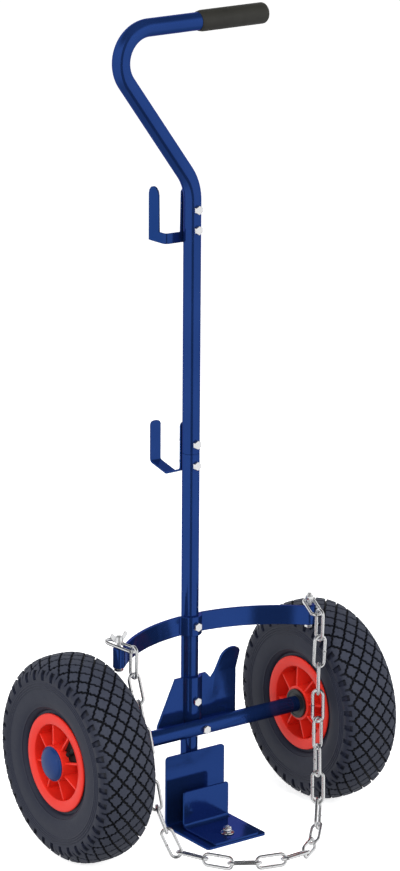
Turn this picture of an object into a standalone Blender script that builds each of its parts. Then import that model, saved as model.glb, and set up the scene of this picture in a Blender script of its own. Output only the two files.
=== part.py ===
"""Two-wheeled cart for one gas cylinder.

A round post carries a cranked handle, two hose hooks and a curved cradle band.
It stands on a folded foot plate with a sliding stop plate, and on two pneumatic
wheels whose axle is bolted across its front.  A long-link chain hangs from the
two ends of the cradle band.

X runs along the axle, the front of the cart faces -Y and Z is up.  The origin
lies on the sole of the foot plate.
"""

import math

import bmesh
import bpy
from mathutils import Matrix, Vector

MM = 0.001

# Clearances
FIT = 0.3 * MM
RUNNING_FIT = 0.08 * MM
CUT_PAST = 1 * MM

# Post and handle
POST_DIAMETER = 22 * MM
POST_WALL = 1 * MM
POST_BOTTOM = 25 * MM
POST_JOINT_HEIGHT = 483 * MM
SPIGOT_LENGTH = 40 * MM
SPIGOT_STEP = 3 * MM
HANDLE_CRANK_HEIGHT = 820 * MM
HANDLE_CRANK_RADIUS = 60 * MM
HANDLE_SLANT = math.radians(53.5)
HANDLE_HEIGHT = 1016.7 * MM
HANDLE_BEND_RADIUS = 40 * MM
HANDLE_RISE = math.radians(1.5)
HANDLE_REACH = 103 * MM
GRIP_DIAMETER = 26 * MM
GRIP_LENGTH = 100 * MM
GRIP_END_WALL = 3 * MM
GRIP_EDGE_RADIUS = 4 * MM

# Axle and wheels
AXLE_SETBACK = 40 * MM
AXLE_DIAMETER = 20 * MM
AXLE_WALL = 2.5 * MM
WHEEL_TRACK = 373 * MM
TYRE_RADIUS = 130 * MM
TYRE_WIDTH = 77 * MM
TYRE_TREAD = 10 * MM
TYRE_SIDEWALL = 6 * MM
TYRE_BEAD = 6.2 * MM
TYRE_WIDEST_RADIUS = 94 * MM
TYRE_CROWN_POWER = 2.8
TYRE_WALL_POWER = 4
TYRE_FOOT_ANGLE = math.radians(56)
TREAD_BLOCKS = 36
TREAD_ROWS = 4
TREAD_ROW_WIDTH = 9.5 * MM
TREAD_DEPTH = 3 * MM
TREAD_GROOVE = 3 * MM
TREAD_SHOULDER = 11 * MM
TUBE_WALL = 2 * MM
TUBE_CLEARANCE = 0.5 * MM
RIM_RADIUS = 61.5 * MM
RIM_WIDTH = 67 * MM
RIM_LIP = 4 * MM
RIM_SEAT_RADIUS = 54 * MM
RIM_BARREL_RADIUS = 47.5 * MM
RIM_FACE_DEPTH = 1.5 * MM
RIM_FACE_EDGE = 7 * MM
RIM_WEB = 5 * MM
RIM_RIBS = 8
RIM_RIB_THICKNESS = 3 * MM
RIM_RIB_DEPTH = 4 * MM
RIM_RIB_PHASE = {"left": math.radians(14), "right": math.radians(9.5)}
RIM_WINDOW_MARGIN = 2 * MM
RIM_WINDOW_SECTOR = {"left": -2, "right": 2}
HUB_RADIUS = 22.5 * MM
HUB_INNER_LENGTH = 34 * MM
HUB_OUTER_LENGTH = 37 * MM
HUB_RECESS_DEPTH = 8 * MM
HUB_RECESS_RADIUS = 18 * MM
BEARING_WALL = 3.3 * MM
BEARING_FLANGE_RADIUS = 19 * MM
BEARING_FLANGE = 3 * MM
CLIP_RADIUS = 15 * MM
CLIP_THICKNESS = 1.5 * MM
AXLE_END_STAND = 3 * MM
CAP_RADIUS = 23 * MM
CAP_HEIGHT = 8 * MM
CAP_WALL = 2.5 * MM
CAP_SPIGOT_LENGTH = 2 * MM
VALVE_RADIUS = 3.5 * MM
VALVE_BORE_RADIUS = 1.2 * MM
VALVE_TIP_RADIUS = 27 * MM

# Screws
BOLT_DIAMETER = 6 * MM
HEX_WIDTH = 10 * MM
HEAD_HEIGHT = 4 * MM
NUT_HEIGHT = 5 * MM

# Bracket behind the axle
BRACKET_THICKNESS = 4 * MM
BRACKET_BEND_RADIUS = 4 * MM
BRACKET_WING_ADVANCE = 4 * MM
BRACKET_DROP = 6 * MM
BRACKET_HEIGHT = 68 * MM
BRACKET_LEFT_REACH = 52 * MM
BRACKET_LEFT_TOP_REACH = 25 * MM
BRACKET_LEFT_EDGE = 10 * MM
BRACKET_RIGHT_REACH = 68 * MM
BRACKET_NOTCH_REACH = 30 * MM
BRACKET_NOTCH_DEPTH = 9 * MM
BRACKET_SHOULDER_REACH = 22 * MM
BRACKET_SHOULDER_RUN = 4 * MM
BRACKET_BOLT_RISE = 37 * MM
FINGER_WIDTH = 28 * MM
FINGER_LENGTH = 40 * MM
FINGER_EDGE_STEP = 3 * MM
FINGER_FOOT_STEP = 1 * MM
FINGER_BEND_DROP = 2 * MM
FINGER_LEAN = math.radians(26)

# Hose hooks behind the post
HOOK_THICKNESS = 2.5 * MM
HOOK_BEND_RADIUS = 4.5 * MM
HOOK_CORNER = 5 * MM
UPPER_HOOK_DROP = 73 * MM
UPPER_HOOK_HEIGHT = 68 * MM
UPPER_HOOK_STRIP = 13 * MM
UPPER_HOOK_STEP = 1 * MM
UPPER_HOOK_PLATE_WIDTH = 16 * MM
UPPER_HOOK_SIDE_REACH = 31 * MM
UPPER_HOOK_DEPTH = 34 * MM
UPPER_HOOK_FINGER_WIDTH = 20 * MM
UPPER_HOOK_BOLT_DROP = 25 * MM
UPPER_HOOK_BOLT_SPACING = 25 * MM
LOWER_HOOK_WIDTH = 15 * MM
LOWER_HOOK_RISE = 37 * MM
LOWER_HOOK_LEG = 61 * MM
LOWER_HOOK_VALLEY_DEPTH = 30.5 * MM
LOWER_HOOK_VALLEY_DROP = 11.5 * MM
LOWER_HOOK_DEPTH = 64 * MM
LOWER_HOOK_TOE_RISE = 7.5 * MM
LOWER_HOOK_FINGER_LENGTH = 52 * MM
LOWER_HOOK_BOLT_DROP = 24.5 * MM
LOWER_HOOK_BOLT_SPACING = 27 * MM

# Cradle band and its chain bolts
BAND_HEIGHT = 25 * MM
BAND_THICKNESS = 4 * MM
BAND_ARC_RADIUS = 200 * MM
BAND_BEND_RADIUS = 4 * MM
CHAIN_BOLT_SPACING = 292 * MM
EYE_TURN = math.radians(282)
CHAIN_BOLT_STAND = 16 * MM
WING_NUT_RADIUS = 5.5 * MM
WING_NUT_HEIGHT = 7 * MM
WING_NUT_TAPER = 1 * MM
WING_SPAN = 25 * MM
WING_HEIGHT = 12 * MM
WING_THICKNESS = 2 * MM

# Foot plate and stop plate
FOOT_WIDTH = 90 * MM
FOOT_THICKNESS = 3 * MM
FOOT_HEIGHT = 94 * MM
FOOT_LENGTH = 93.5 * MM
FOOT_HEEL_RADIUS = 8 * MM
FOOT_CORNER = 4 * MM
STOP_WIDTH = 69 * MM
STOP_THICKNESS = 3 * MM
STOP_HEIGHT = 49.5 * MM
STOP_LENGTH = 69 * MM
STOP_BEND_RADIUS = 8 * MM
STOP_CORNER = 3 * MM
STOP_EDGE_SETBACK = 0.5 * MM
STOP_BOLT_SETBACK = 21.5 * MM
STOP_TRAVEL_FORWARD = 8 * MM
STOP_TRAVEL_BACK = 6 * MM
STOP_BOLT_HEAD_RADIUS = 5.2 * MM
STOP_BOLT_HEAD_HEIGHT = 2.2 * MM
STOP_BOLT_STAND = 3 * MM
FLANGE_NUT_RADIUS = 8.5 * MM
FLANGE_NUT_FLANGE = 1.5 * MM

# Chain: wire, outer link size, and the route of its free run in shares of the bolts' spacing and of
# the band's height
LINK_WIRE = 4.2 * MM
LINK_LENGTH = 43.5 * MM
LINK_WIDTH = 18 * MM
LINK_SLACK = 0.9 * MM
LINK_COUNT = 25
END_LINK_DROOP = math.radians(13)
END_LINK_TOE_IN = {"left": math.radians(30), "right": math.radians(18)}
END_LINK_SLIDE = {"left": 10 * MM, "right": 0 * MM}
LINK_ROLL = [(2, -36), (4, 0), (8, 90), (12, 180), (20, 180), (24, 216)]
CHAIN_FACE = Vector((-0.57, -0.78, 0.27))
CHAIN_LIE = 9.8 * MM
CHAIN_EASE = 0.9902
CHAIN_ROUTE = [
    (0.4384, -0.1096, 0.7308),
    (0.4041, -0.1541, 0.4884),
    (0.3699, -0.2021, 0.2424),
    (0.3322, -0.2500, 0.1307),
    (0.2705, -0.3185, 0.0577),
    (0.1884, -0.3938, 0.0346),
    (0.0925, -0.4418, 0.0346),
    (-0.0205, -0.4384, 0.0346),
    (-0.1199, -0.4075, 0.0346),
    (-0.2192, -0.3390, 0.0346),
    (-0.2808, -0.2397, 0.0346),
    (-0.3390, -0.1507, 0.0731),
    (-0.3801, -0.1199, 0.1962),
    (-0.4178, -0.1130, 0.3269),
    (-0.4452, -0.0890, 0.5769),
]

# Facets of round shapes
TUBE_SIDES = 16
WHEEL_SIDES = 24
HUB_SIDES = 20
SCREW_SIDES = 12
WIRE_SIDES = 8

# Places that follow from the sizes
POST_RADIUS = POST_DIAMETER / 2
AXLE_RADIUS = AXLE_DIAMETER / 2
BOLT_RADIUS = BOLT_DIAMETER / 2
HOLE_RADIUS = BOLT_RADIUS + FIT
AXLE_CENTRE = Vector((0, AXLE_SETBACK, TYRE_RADIUS))
POST_Y = AXLE_SETBACK + AXLE_RADIUS + BRACKET_THICKNESS + POST_RADIUS + 2 * FIT
POST_FRONT = POST_Y - POST_RADIUS
POST_BACK = POST_Y + POST_RADIUS
FOOT_BACK = POST_FRONT - FIT
FOOT_FRONT = FOOT_BACK - FOOT_LENGTH
HOOK_PLANE = POST_BACK + FIT + HOOK_THICKNESS / 2
BRACKET_BOTTOM = TYRE_RADIUS - BRACKET_DROP
BRACKET_TOP = BRACKET_BOTTOM + BRACKET_HEIGHT
BRACKET_BOLT_HEIGHT = BRACKET_BOTTOM + BRACKET_BOLT_RISE
FINGER_BEND_HEIGHT = BRACKET_TOP - FINGER_BEND_DROP
UPPER_HOOK_BOTTOM = HANDLE_CRANK_HEIGHT - UPPER_HOOK_DROP
UPPER_HOOK_TOP = UPPER_HOOK_BOTTOM + UPPER_HOOK_HEIGHT
UPPER_HOOK_BOLT_HEIGHT = UPPER_HOOK_TOP - UPPER_HOOK_BOLT_DROP
LOWER_HOOK_TOP = POST_JOINT_HEIGHT + LOWER_HOOK_RISE
LOWER_HOOK_KNEE = LOWER_HOOK_TOP - LOWER_HOOK_LEG
LOWER_HOOK_VALLEY_HEIGHT = LOWER_HOOK_KNEE - LOWER_HOOK_VALLEY_DROP
LOWER_HOOK_TOE_HEIGHT = LOWER_HOOK_VALLEY_HEIGHT + LOWER_HOOK_TOE_RISE
LOWER_HOOK_FINGER_TOP = LOWER_HOOK_TOE_HEIGHT + LOWER_HOOK_FINGER_LENGTH
LOWER_HOOK_BOLT_HEIGHT = LOWER_HOOK_TOP - LOWER_HOOK_BOLT_DROP
BAND_LEVEL = 2 * TYRE_RADIUS
BAND_TOP = BAND_LEVEL + BAND_HEIGHT / 2
BAND_BOTTOM = BAND_LEVEL - BAND_HEIGHT / 2
EYE_RADIUS = BOLT_RADIUS + FIT + BAND_THICKNESS / 2
WIRE_RADIUS = LINK_WIRE / 2
LINK_BEND = (LINK_WIDTH - LINK_WIRE) / 2
LINK_STRAIGHT = (LINK_LENGTH - LINK_WIDTH) / 2
LINK_BEARING = 2 * LINK_BEND - LINK_WIRE - LINK_SLACK
LINK_PITCH = 2 * LINK_STRAIGHT + LINK_BEARING


def clear_scene():
    for existing in list(bpy.data.objects):
        bpy.data.objects.remove(existing)


def finish(name, colour, roughness, metallic):
    """A Principled material of one colour."""
    made = bpy.data.materials.new(name)
    made.use_nodes = True
    shader = made.node_tree.nodes["Principled BSDF"]
    shader.inputs["Base Color"].default_value = (*colour, 1)
    shader.inputs["Roughness"].default_value = roughness
    shader.inputs["Metallic"].default_value = metallic
    return made


def add(name, shape, material, parent=None):
    """Turn a bmesh into a named object with outward faces."""
    bmesh.ops.remove_doubles(shape, verts=shape.verts, dist=1e-7)
    bmesh.ops.recalc_face_normals(shape, faces=shape.faces)
    mesh = bpy.data.meshes.new(name)
    shape.to_mesh(mesh)
    shape.free()
    mesh.shade_smooth()
    mesh.set_sharp_from_angle(angle=math.radians(35))
    if material:
        mesh.materials.append(material)
    return add_mesh(name, mesh, parent)


def add_mesh(name, mesh, parent=None):
    made = bpy.data.objects.new(name, mesh)
    bpy.context.collection.objects.link(made)
    made.parent = parent
    return made


def pivot(name, place, turn=0.0):
    """An empty on a joint's axis, turned about Z."""
    empty = bpy.data.objects.new(name, None)
    bpy.context.collection.objects.link(empty)
    empty.location = place
    empty.rotation_euler = (0, 0, turn)
    return empty


def guide(name, shape, parent=None):
    """A shape that only cuts or joins others."""
    made = add(name, shape, None, parent)
    made.hide_render = True
    made.display_type = "WIRE"
    return made


def combine(piece, tool, operation):
    step = piece.modifiers.new(tool.name, "BOOLEAN")
    step.operation = operation
    step.solver = "EXACT"
    step.object = tool


def turn_points(sides, phase=0.0):
    return [phase + 2 * math.pi * k / sides for k in range(sides)]


def revolve(profile, sides, phase=0.0):
    """Turn a closed (along X, radius) outline about the X axis."""
    shape = bmesh.new()
    rings = []
    for angle in turn_points(sides, phase):
        across = Vector((0, math.sin(angle), math.cos(angle)))
        rings.append([shape.verts.new(Vector((along, 0, 0)) + radius * across) for along, radius in profile])
    count = len(profile)
    for k, ring in enumerate(rings):
        following = rings[(k + 1) % sides]
        for i in range(count):
            j = (i + 1) % count
            corners = [ring[i], ring[j], following[j], following[i]]
            if profile[i][1] == 0:
                corners.remove(following[i])
            if profile[j][1] == 0:
                corners.remove(following[j])
            if len(corners) > 2:
                shape.faces.new(corners)
    return shape


def screw_rings(shape, stations, place, axis):
    """Rings along an axis, each hexagonal or round."""
    aim = Vector(axis).to_track_quat("Z", "Y")
    rings = []
    for along, radius, hexagonal in stations:
        ring = []
        for k, angle in enumerate(turn_points(SCREW_SIDES)):
            reach = radius * math.cos(math.pi / 6) if hexagonal and k % 2 else radius
            local = Vector((reach * math.cos(angle), reach * math.sin(angle), along))
            ring.append(shape.verts.new(Vector(place) + aim @ local))
        rings.append(ring)
    return rings


def join_rings(shape, first, second):
    for i in range(len(first)):
        j = (i + 1) % len(first)
        shape.faces.new([first[i], first[j], second[j], second[i]])


def stack(stations, place, axis):
    """A solid screw or pin built of rings along an axis."""
    shape = bmesh.new()
    rings = screw_rings(shape, stations, place, axis)
    for first, second in zip(rings, rings[1:]):
        join_rings(shape, first, second)
    shape.faces.new(rings[0])
    shape.faces.new(rings[-1])
    return shape


def pin(low, high, radius, place, axis):
    """A plain round pin along an axis."""
    return stack([(low, radius, False), (high, radius, False)], place, axis)


def nut_stack(stations, bore, place, axis):
    """A nut: rings along an axis, closed through a round bore."""
    shape = bmesh.new()
    low, high = stations[0][0], stations[-1][0]
    closed = stations + [(high, bore, False), (low, bore, False)]
    rings = screw_rings(shape, closed, place, axis)
    for first, second in zip(rings, rings[1:] + rings[:1]):
        join_rings(shape, first, second)
    return shape


def fillet(corners, radii, steps):
    """Round the inner corners of a flat polyline with arcs."""
    path = [Vector(corners[0])]
    for before, corner, after, radius in zip(corners, corners[1:], corners[2:], radii):
        corner = Vector(corner)
        back = (Vector(before) - corner).normalized()
        ahead = (Vector(after) - corner).normalized()
        half = back.angle(ahead) / 2
        centre = corner + (back + ahead).normalized() * radius / math.sin(half)
        start = corner + back * radius / math.tan(half) - centre
        end = corner + ahead * radius / math.tan(half) - centre
        sweep = start.angle(end)
        for k in range(steps + 1):
            share = sweep * k / steps
            arm = (start * math.sin(sweep - share) + end * math.sin(share)) / math.sin(sweep)
            path.append(centre + arm)
    path.append(Vector(corners[-1]))
    return path


def path_normals(path):
    """Left-hand normals of a flat path, lengthened at its corners to keep the thickness."""
    sides = []
    for first, second in zip(path, path[1:]):
        along = (second - first).normalized()
        sides.append(Vector((-along.y, along.x)))
    normals = [sides[0]]
    for first, second in zip(sides, sides[1:]):
        middle = (first + second).normalized()
        normals.append(middle / middle.dot(first))
    normals.append(sides[-1])
    return normals


def ribbon(path, levels, thickness, to_world):
    """A bent bar: a flat path with thickness, spread to its own levels at every point."""
    shape = bmesh.new()
    grid = []
    for point, normal, heights in zip(path, path_normals(path), levels):
        sides = []
        for sign in (0.5, -0.5):
            edge = point + normal * sign * thickness
            sides.append([shape.verts.new(to_world(edge.x, edge.y, height)) for height in heights])
        grid.append(sides)
    rows = len(levels[0])
    for here, there in zip(grid, grid[1:]):
        for k in range(rows - 1):
            shape.faces.new([here[0][k], there[0][k], there[0][k + 1], here[0][k + 1]])
            shape.faces.new([here[1][k], here[1][k + 1], there[1][k + 1], there[1][k]])
        shape.faces.new([here[0][-1], there[0][-1], there[1][-1], here[1][-1]])
        shape.faces.new([here[0][0], here[1][0], there[1][0], there[0][0]])
    for end in (grid[0], grid[-1]):
        for k in range(rows - 1):
            shape.faces.new([end[0][k], end[0][k + 1], end[1][k + 1], end[1][k]])
    return shape


def soften_ends(path, corner):
    """Extra points near both ends of a path, where a plate's corners are rounded."""
    first = (path[1] - path[0]).normalized()
    last = (path[-2] - path[-1]).normalized()
    steps = [corner * (1 - math.cos(math.radians(angle))) for angle in (0, 30, 60, 90)]
    start = [path[0] + first * step for step in steps]
    end = [path[-1] + last * step for step in reversed(steps)]
    return start + path[1:-1] + end


def corner_inset(distance, corner):
    if distance >= corner:
        return 0.0
    return corner - math.sqrt(max(0.0, corner ** 2 - (corner - distance) ** 2))


def plate_levels(path, half_width, corner):
    """Side edges of a plate along its path, drawn in round its four corners."""
    levels = []
    for point in path:
        inset = corner_inset(min((point - path[0]).length, (point - path[-1]).length), corner)
        levels.append((inset - half_width, half_width - inset))
    return levels


def across_x(along, up, across):
    return Vector((across, along, up))


def upright(along, across, up):
    return Vector((along, across, up))


def pipe(stations, sides, sideways):
    """A round tube along flat stations of centre, direction, outer and inner radius."""
    shape = bmesh.new()
    skins = ([], [])
    for centre, direction, outer, inner in stations:
        normal = sideways.cross(direction).normalized()
        for skin, radius in zip(skins, (outer, inner)):
            ring = []
            for angle in turn_points(sides, math.pi / sides):
                offset = normal * math.cos(angle) + sideways * math.sin(angle)
                ring.append(shape.verts.new(centre + offset * radius))
            skin.append(ring)
    for skin in skins:
        for first, second in zip(skin, skin[1:]):
            join_rings(shape, first, second)
    for end in (0, -1):
        join_rings(shape, skins[0][end], skins[1][end])
    return shape


def post_tube(paint):
    outer, inner = POST_RADIUS, POST_RADIUS - POST_WALL
    up = Vector((0, 0, 1))
    ends = (POST_BOTTOM, POST_JOINT_HEIGHT - FIT)
    stations = [(Vector((0, POST_Y, z)), up, outer, inner) for z in ends]
    return add("post_tube", pipe(stations, TUBE_SIDES, Vector((0, 1, 0))), paint)


def handle_line():
    """Centre line of the handle in its X-Z plane, from the joint to the free end."""
    rise = math.tan(HANDLE_RISE)
    corner_x = -(HANDLE_HEIGHT - HANDLE_CRANK_HEIGHT) / (math.tan(HANDLE_SLANT) + rise)
    corners = [
        (0, POST_JOINT_HEIGHT),
        (0, HANDLE_CRANK_HEIGHT),
        (corner_x, HANDLE_HEIGHT + corner_x * rise),
        (HANDLE_REACH, HANDLE_HEIGHT + HANDLE_REACH * rise),
    ]
    return fillet(corners, (HANDLE_CRANK_RADIUS, HANDLE_BEND_RADIUS), 5)


def handle_tube(paint):
    """The upper tube, swaged at its foot so that it plugs into the post."""
    outer, inner = POST_RADIUS, POST_RADIUS - POST_WALL
    spigot = inner - FIT
    up = Vector((0, 0, 1))
    foot = ((-SPIGOT_LENGTH, spigot), (0, spigot), (0, outer))
    stations = []
    for lift, radius in foot:
        centre = Vector((0, POST_Y, POST_JOINT_HEIGHT + lift))
        stations.append((centre, up, radius, spigot - POST_WALL))
    line = handle_line()
    line[0].y += SPIGOT_STEP
    for k, point in enumerate(line):
        before, after = line[max(k - 1, 0)], line[min(k + 1, len(line) - 1)]
        along = (after - before).normalized()
        direction = Vector((along.x, 0, along.y))
        stations.append((Vector((point.x, POST_Y, point.y)), direction, outer, inner))
    return add("handle_tube", pipe(stations, TUBE_SIDES, Vector((0, 1, 0))), paint)


def hand_grip(rubber):
    """A closed sleeve pushed over the free end of the handle."""
    outer = GRIP_DIAMETER / 2
    inner = POST_RADIUS + FIT
    bevel = GRIP_EDGE_RADIUS
    end = GRIP_END_WALL + FIT
    arc = [math.radians(angle) for angle in (90, 45, 0)]
    profile = [(end - GRIP_LENGTH, inner), (FIT, inner), (FIT, 0), (end, 0)]
    for angle in reversed(arc):
        profile.append((end - bevel + bevel * math.cos(angle), outer - bevel + bevel * math.sin(angle)))
    profile += [(end - GRIP_LENGTH, outer)]
    shape = revolve(profile, TUBE_SIDES)
    free_end = handle_line()[-1]
    tilt = Matrix.Rotation(-HANDLE_RISE, 4, "Y")
    place = Matrix.Translation((free_end.x, POST_Y, free_end.y))
    bmesh.ops.transform(shape, matrix=place @ tilt, verts=shape.verts)
    return add("hand_grip", shape, rubber)


def saddle_path(thickness, bend, wing_radius, advance):
    """Half of a bar pressed round the post's front, from the middle of the saddle to the end
    of the bend that turns it into its wing, and the wing's direction there.  The wing's own
    curve has its rearmost point in front of the post's axis by the advance."""
    saddle = POST_RADIUS + FIT + thickness / 2
    reach, far, gap = saddle + bend, wing_radius - bend, wing_radius + advance
    along = (far ** 2 - reach ** 2 + gap ** 2) / (2 * gap)
    side = math.sqrt(far ** 2 - along ** 2)
    half = math.atan2(side, gap - along)
    path = []
    for k in range(5):
        angle = half * k / 4
        path.append(Vector((saddle * math.sin(angle), POST_Y - saddle * math.cos(angle))))
    end = math.atan2(side, along)
    back = POST_Y - gap + along
    for k in range(1, 4):
        angle = -half + (end + half) * k / 3
        path.append(Vector((side + bend * math.sin(angle), back + bend * math.cos(angle))))
    return path, end


def band_half():
    """Right half of the cradle band's centre line, from the saddle to its rolled eye."""
    centre = Vector((0, POST_Y - BAND_ARC_RADIUS))
    path, first = saddle_path(BAND_THICKNESS, BAND_BEND_RADIUS, BAND_ARC_RADIUS, 0)
    last = math.asin(CHAIN_BOLT_SPACING / 2 / (BAND_ARC_RADIUS + EYE_RADIUS))
    for k in range(1, 13):
        angle = first + (last - first) * k / 12
        path.append(centre + BAND_ARC_RADIUS * Vector((math.sin(angle), math.cos(angle))))
    eye = chain_bolt_place(1).to_2d()
    for k in range(1, 13):
        angle = last + math.pi - EYE_TURN * k / 12
        path.append(eye + EYE_RADIUS * Vector((math.sin(angle), math.cos(angle))))
    return path


def chain_bolt_place(side):
    """Centre of a rolled eye at the middle height of the band."""
    half = CHAIN_BOLT_SPACING / 2
    reach = BAND_ARC_RADIUS + EYE_RADIUS
    return Vector((side * half, POST_Y - BAND_ARC_RADIUS + math.sqrt(reach ** 2 - half ** 2), BAND_LEVEL))


def cradle_band(paint):
    half = band_half()
    mirrored = [Vector((-point.x, point.y)) for point in reversed(half[1:])]
    path = mirrored + half
    levels = [(BAND_BOTTOM, BAND_TOP)] * len(path)
    return add("cradle_band", ribbon(path, levels, BAND_THICKNESS, upright), paint)


def finger_edge():
    """Top edge of the bracket's right wing as points of reach and height."""
    shoulder = BRACKET_SHOULDER_REACH
    notch = BRACKET_TOP - BRACKET_NOTCH_DEPTH
    radius = FINGER_WIDTH / 2
    centre = BRACKET_RIGHT_REACH - FINGER_EDGE_STEP - radius
    crown = FINGER_BEND_HEIGHT + FINGER_LENGTH - radius
    edge = [(shoulder, BRACKET_TOP)]
    edge.append((shoulder + BRACKET_SHOULDER_RUN, (BRACKET_TOP + notch) / 2))
    edge.append((BRACKET_NOTCH_REACH, notch))
    edge.append((centre - radius - FINGER_FOOT_STEP, FINGER_BEND_HEIGHT + FINGER_FOOT_STEP))
    for k in range(9):
        angle = math.pi * (1 - k / 8)
        edge.append((centre + radius * math.cos(angle), crown + radius * math.sin(angle)))
    edge.append((BRACKET_RIGHT_REACH, FINGER_BEND_HEIGHT + FINGER_FOOT_STEP))
    return edge


def axle_bracket(paint):
    """A plate pressed round the post, with a short left wing and a bent right finger."""
    plane = POST_Y - BRACKET_WING_ADVANCE
    flat = 1000 * BRACKET_RIGHT_REACH
    half, _ = saddle_path(BRACKET_THICKNESS, BRACKET_BEND_RADIUS, flat, BRACKET_WING_ADVANCE)
    left = [(-BRACKET_LEFT_REACH, BRACKET_BOTTOM + BRACKET_LEFT_EDGE)]
    left.append((-BRACKET_LEFT_TOP_REACH, BRACKET_TOP))
    right = finger_edge()
    path = [Vector((x, plane)) for x, _ in left]
    tops = [top for _, top in left]
    saddle = [Vector((-point.x, point.y)) for point in reversed(half[1:])] + half
    path += saddle
    tops += [BRACKET_TOP] * len(saddle)
    path += [Vector((x, plane)) for x, _ in right]
    tops += [top for _, top in right]
    levels = []
    for point, top in zip(path, tops):
        bend = FINGER_BEND_HEIGHT if top > FINGER_BEND_HEIGHT and point.x > BRACKET_NOTCH_REACH else None
        levels.append((BRACKET_BOTTOM, bend or (BRACKET_BOTTOM + top) / 2, top))
    shape = ribbon(path, levels, BRACKET_THICKNESS, upright)
    for corner in shape.verts:
        lift = corner.co.z - FINGER_BEND_HEIGHT
        if lift > 0 and corner.co.x > BRACKET_NOTCH_REACH:
            corner.co.z = FINGER_BEND_HEIGHT + lift * math.cos(FINGER_LEAN)
            corner.co.y -= lift * math.sin(FINGER_LEAN)
    return add("axle_bracket", shape, paint)


def upper_hook(paint):
    """A U-shaped blank: one leg behind the post, the other folded back as a finger."""
    low, strip = UPPER_HOOK_BOTTOM, UPPER_HOOK_BOTTOM + UPPER_HOOK_STRIP
    half = UPPER_HOOK_PLATE_WIDTH / 2
    side = -UPPER_HOOK_SIDE_REACH
    tip = HOOK_PLANE + UPPER_HOOK_DEPTH
    inner = tip - UPPER_HOOK_FINGER_WIDTH
    leg = [half - step for step in (0, 0.7 * HOOK_CORNER, 2 * half - 0.7 * HOOK_CORNER, 2 * half)]
    path = [Vector((x, HOOK_PLANE)) for x in leg]
    tops = [UPPER_HOOK_TOP - HOOK_CORNER, UPPER_HOOK_TOP, UPPER_HOOK_TOP, UPPER_HOOK_TOP - HOOK_CORNER]
    fold = [(-half - UPPER_HOOK_STEP, HOOK_PLANE), (side, HOOK_PLANE), (side, inner - UPPER_HOOK_STEP)]
    bend = fillet(fold, [HOOK_BEND_RADIUS], 4)
    path += bend
    tops += [strip] * len(bend)
    radius = UPPER_HOOK_FINGER_WIDTH / 2
    for k in range(7):
        angle = math.pi * (1 - k / 6)
        path.append(Vector((side, inner + radius + radius * math.cos(angle))))
        tops.append(UPPER_HOOK_TOP - radius + radius * math.sin(angle))
    levels = [(low, top) for top in tops]
    return add("upper_hook", ribbon(path, levels, HOOK_THICKNESS, upright), paint)


def lower_hook(paint):
    """A strip bent to a wide cup with an upright finger."""
    corners = [
        (HOOK_PLANE, LOWER_HOOK_TOP),
        (HOOK_PLANE, LOWER_HOOK_KNEE),
        (HOOK_PLANE + LOWER_HOOK_VALLEY_DEPTH, LOWER_HOOK_VALLEY_HEIGHT),
        (HOOK_PLANE + LOWER_HOOK_DEPTH, LOWER_HOOK_TOE_HEIGHT),
        (HOOK_PLANE + LOWER_HOOK_DEPTH, LOWER_HOOK_FINGER_TOP),
    ]
    path = soften_ends(fillet(corners, [HOOK_BEND_RADIUS] * 3, 4), HOOK_CORNER)
    levels = plate_levels(path, LOWER_HOOK_WIDTH / 2, HOOK_CORNER)
    return add("lower_hook", ribbon(path, levels, HOOK_THICKNESS, across_x), paint)


def foot_plate(paint):
    """The outer folded plate: its back is welded to the post, its sole stands on the floor."""
    middle = FOOT_THICKNESS / 2
    corners = [
        (FOOT_BACK - middle, FOOT_HEIGHT),
        (FOOT_BACK - middle, middle),
        (FOOT_FRONT, middle),
    ]
    path = soften_ends(fillet(corners, [FOOT_HEEL_RADIUS - middle], 5), FOOT_CORNER)
    levels = plate_levels(path, FOOT_WIDTH / 2, FOOT_CORNER)
    return add("foot_plate", ribbon(path, levels, FOOT_THICKNESS, across_x), paint)


def stop_place():
    """Front edge and floor height of the stop plate."""
    return FOOT_FRONT + STOP_EDGE_SETBACK, FOOT_THICKNESS + FIT


def stop_plate(paint):
    """The inner folded plate, which slides on the foot along a slot."""
    middle = STOP_THICKNESS / 2
    front, floor = stop_place()
    back = front + STOP_LENGTH - middle
    corners = [(back, floor + STOP_HEIGHT), (back, floor + middle), (front, floor + middle)]
    path = soften_ends(fillet(corners, [STOP_BEND_RADIUS - middle], 5), STOP_CORNER)
    levels = plate_levels(path, STOP_WIDTH / 2, STOP_CORNER)
    plate = add("stop_plate", ribbon(path, levels, STOP_THICKNESS, across_x), paint)
    slot = bmesh.new()
    place = stop_bolt_place()
    outline = []
    for end, centre in ((1, STOP_TRAVEL_FORWARD), (-1, -STOP_TRAVEL_BACK)):
        for k in range(7):
            angle = math.pi * k / 6
            outline.append(place + Vector((
                end * HOLE_RADIUS * math.cos(angle),
                centre + end * HOLE_RADIUS * math.sin(angle),
                floor - STOP_THICKNESS,
            )))
    face = slot.faces.new([slot.verts.new(point) for point in outline])
    raised = bmesh.ops.extrude_face_region(slot, geom=[face])["geom"]
    top = [item for item in raised if isinstance(item, bmesh.types.BMVert)]
    bmesh.ops.translate(slot, verts=top, vec=(0, 0, 3 * STOP_THICKNESS))
    combine(plate, guide("stop_slot", slot), "DIFFERENCE")
    return plate


def stop_bolt_place():
    return Vector((0, FOOT_FRONT + STOP_BOLT_SETBACK, 0))


def countersunk(clearance, low, high):
    """A countersunk screw's body, head down."""
    head = STOP_BOLT_HEAD_RADIUS + clearance
    shank = BOLT_RADIUS + clearance
    outline = ((low, head), (FIT, head), (STOP_BOLT_HEAD_HEIGHT, shank), (high, shank))
    return [(along, radius, False) for along, radius in outline]


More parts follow.
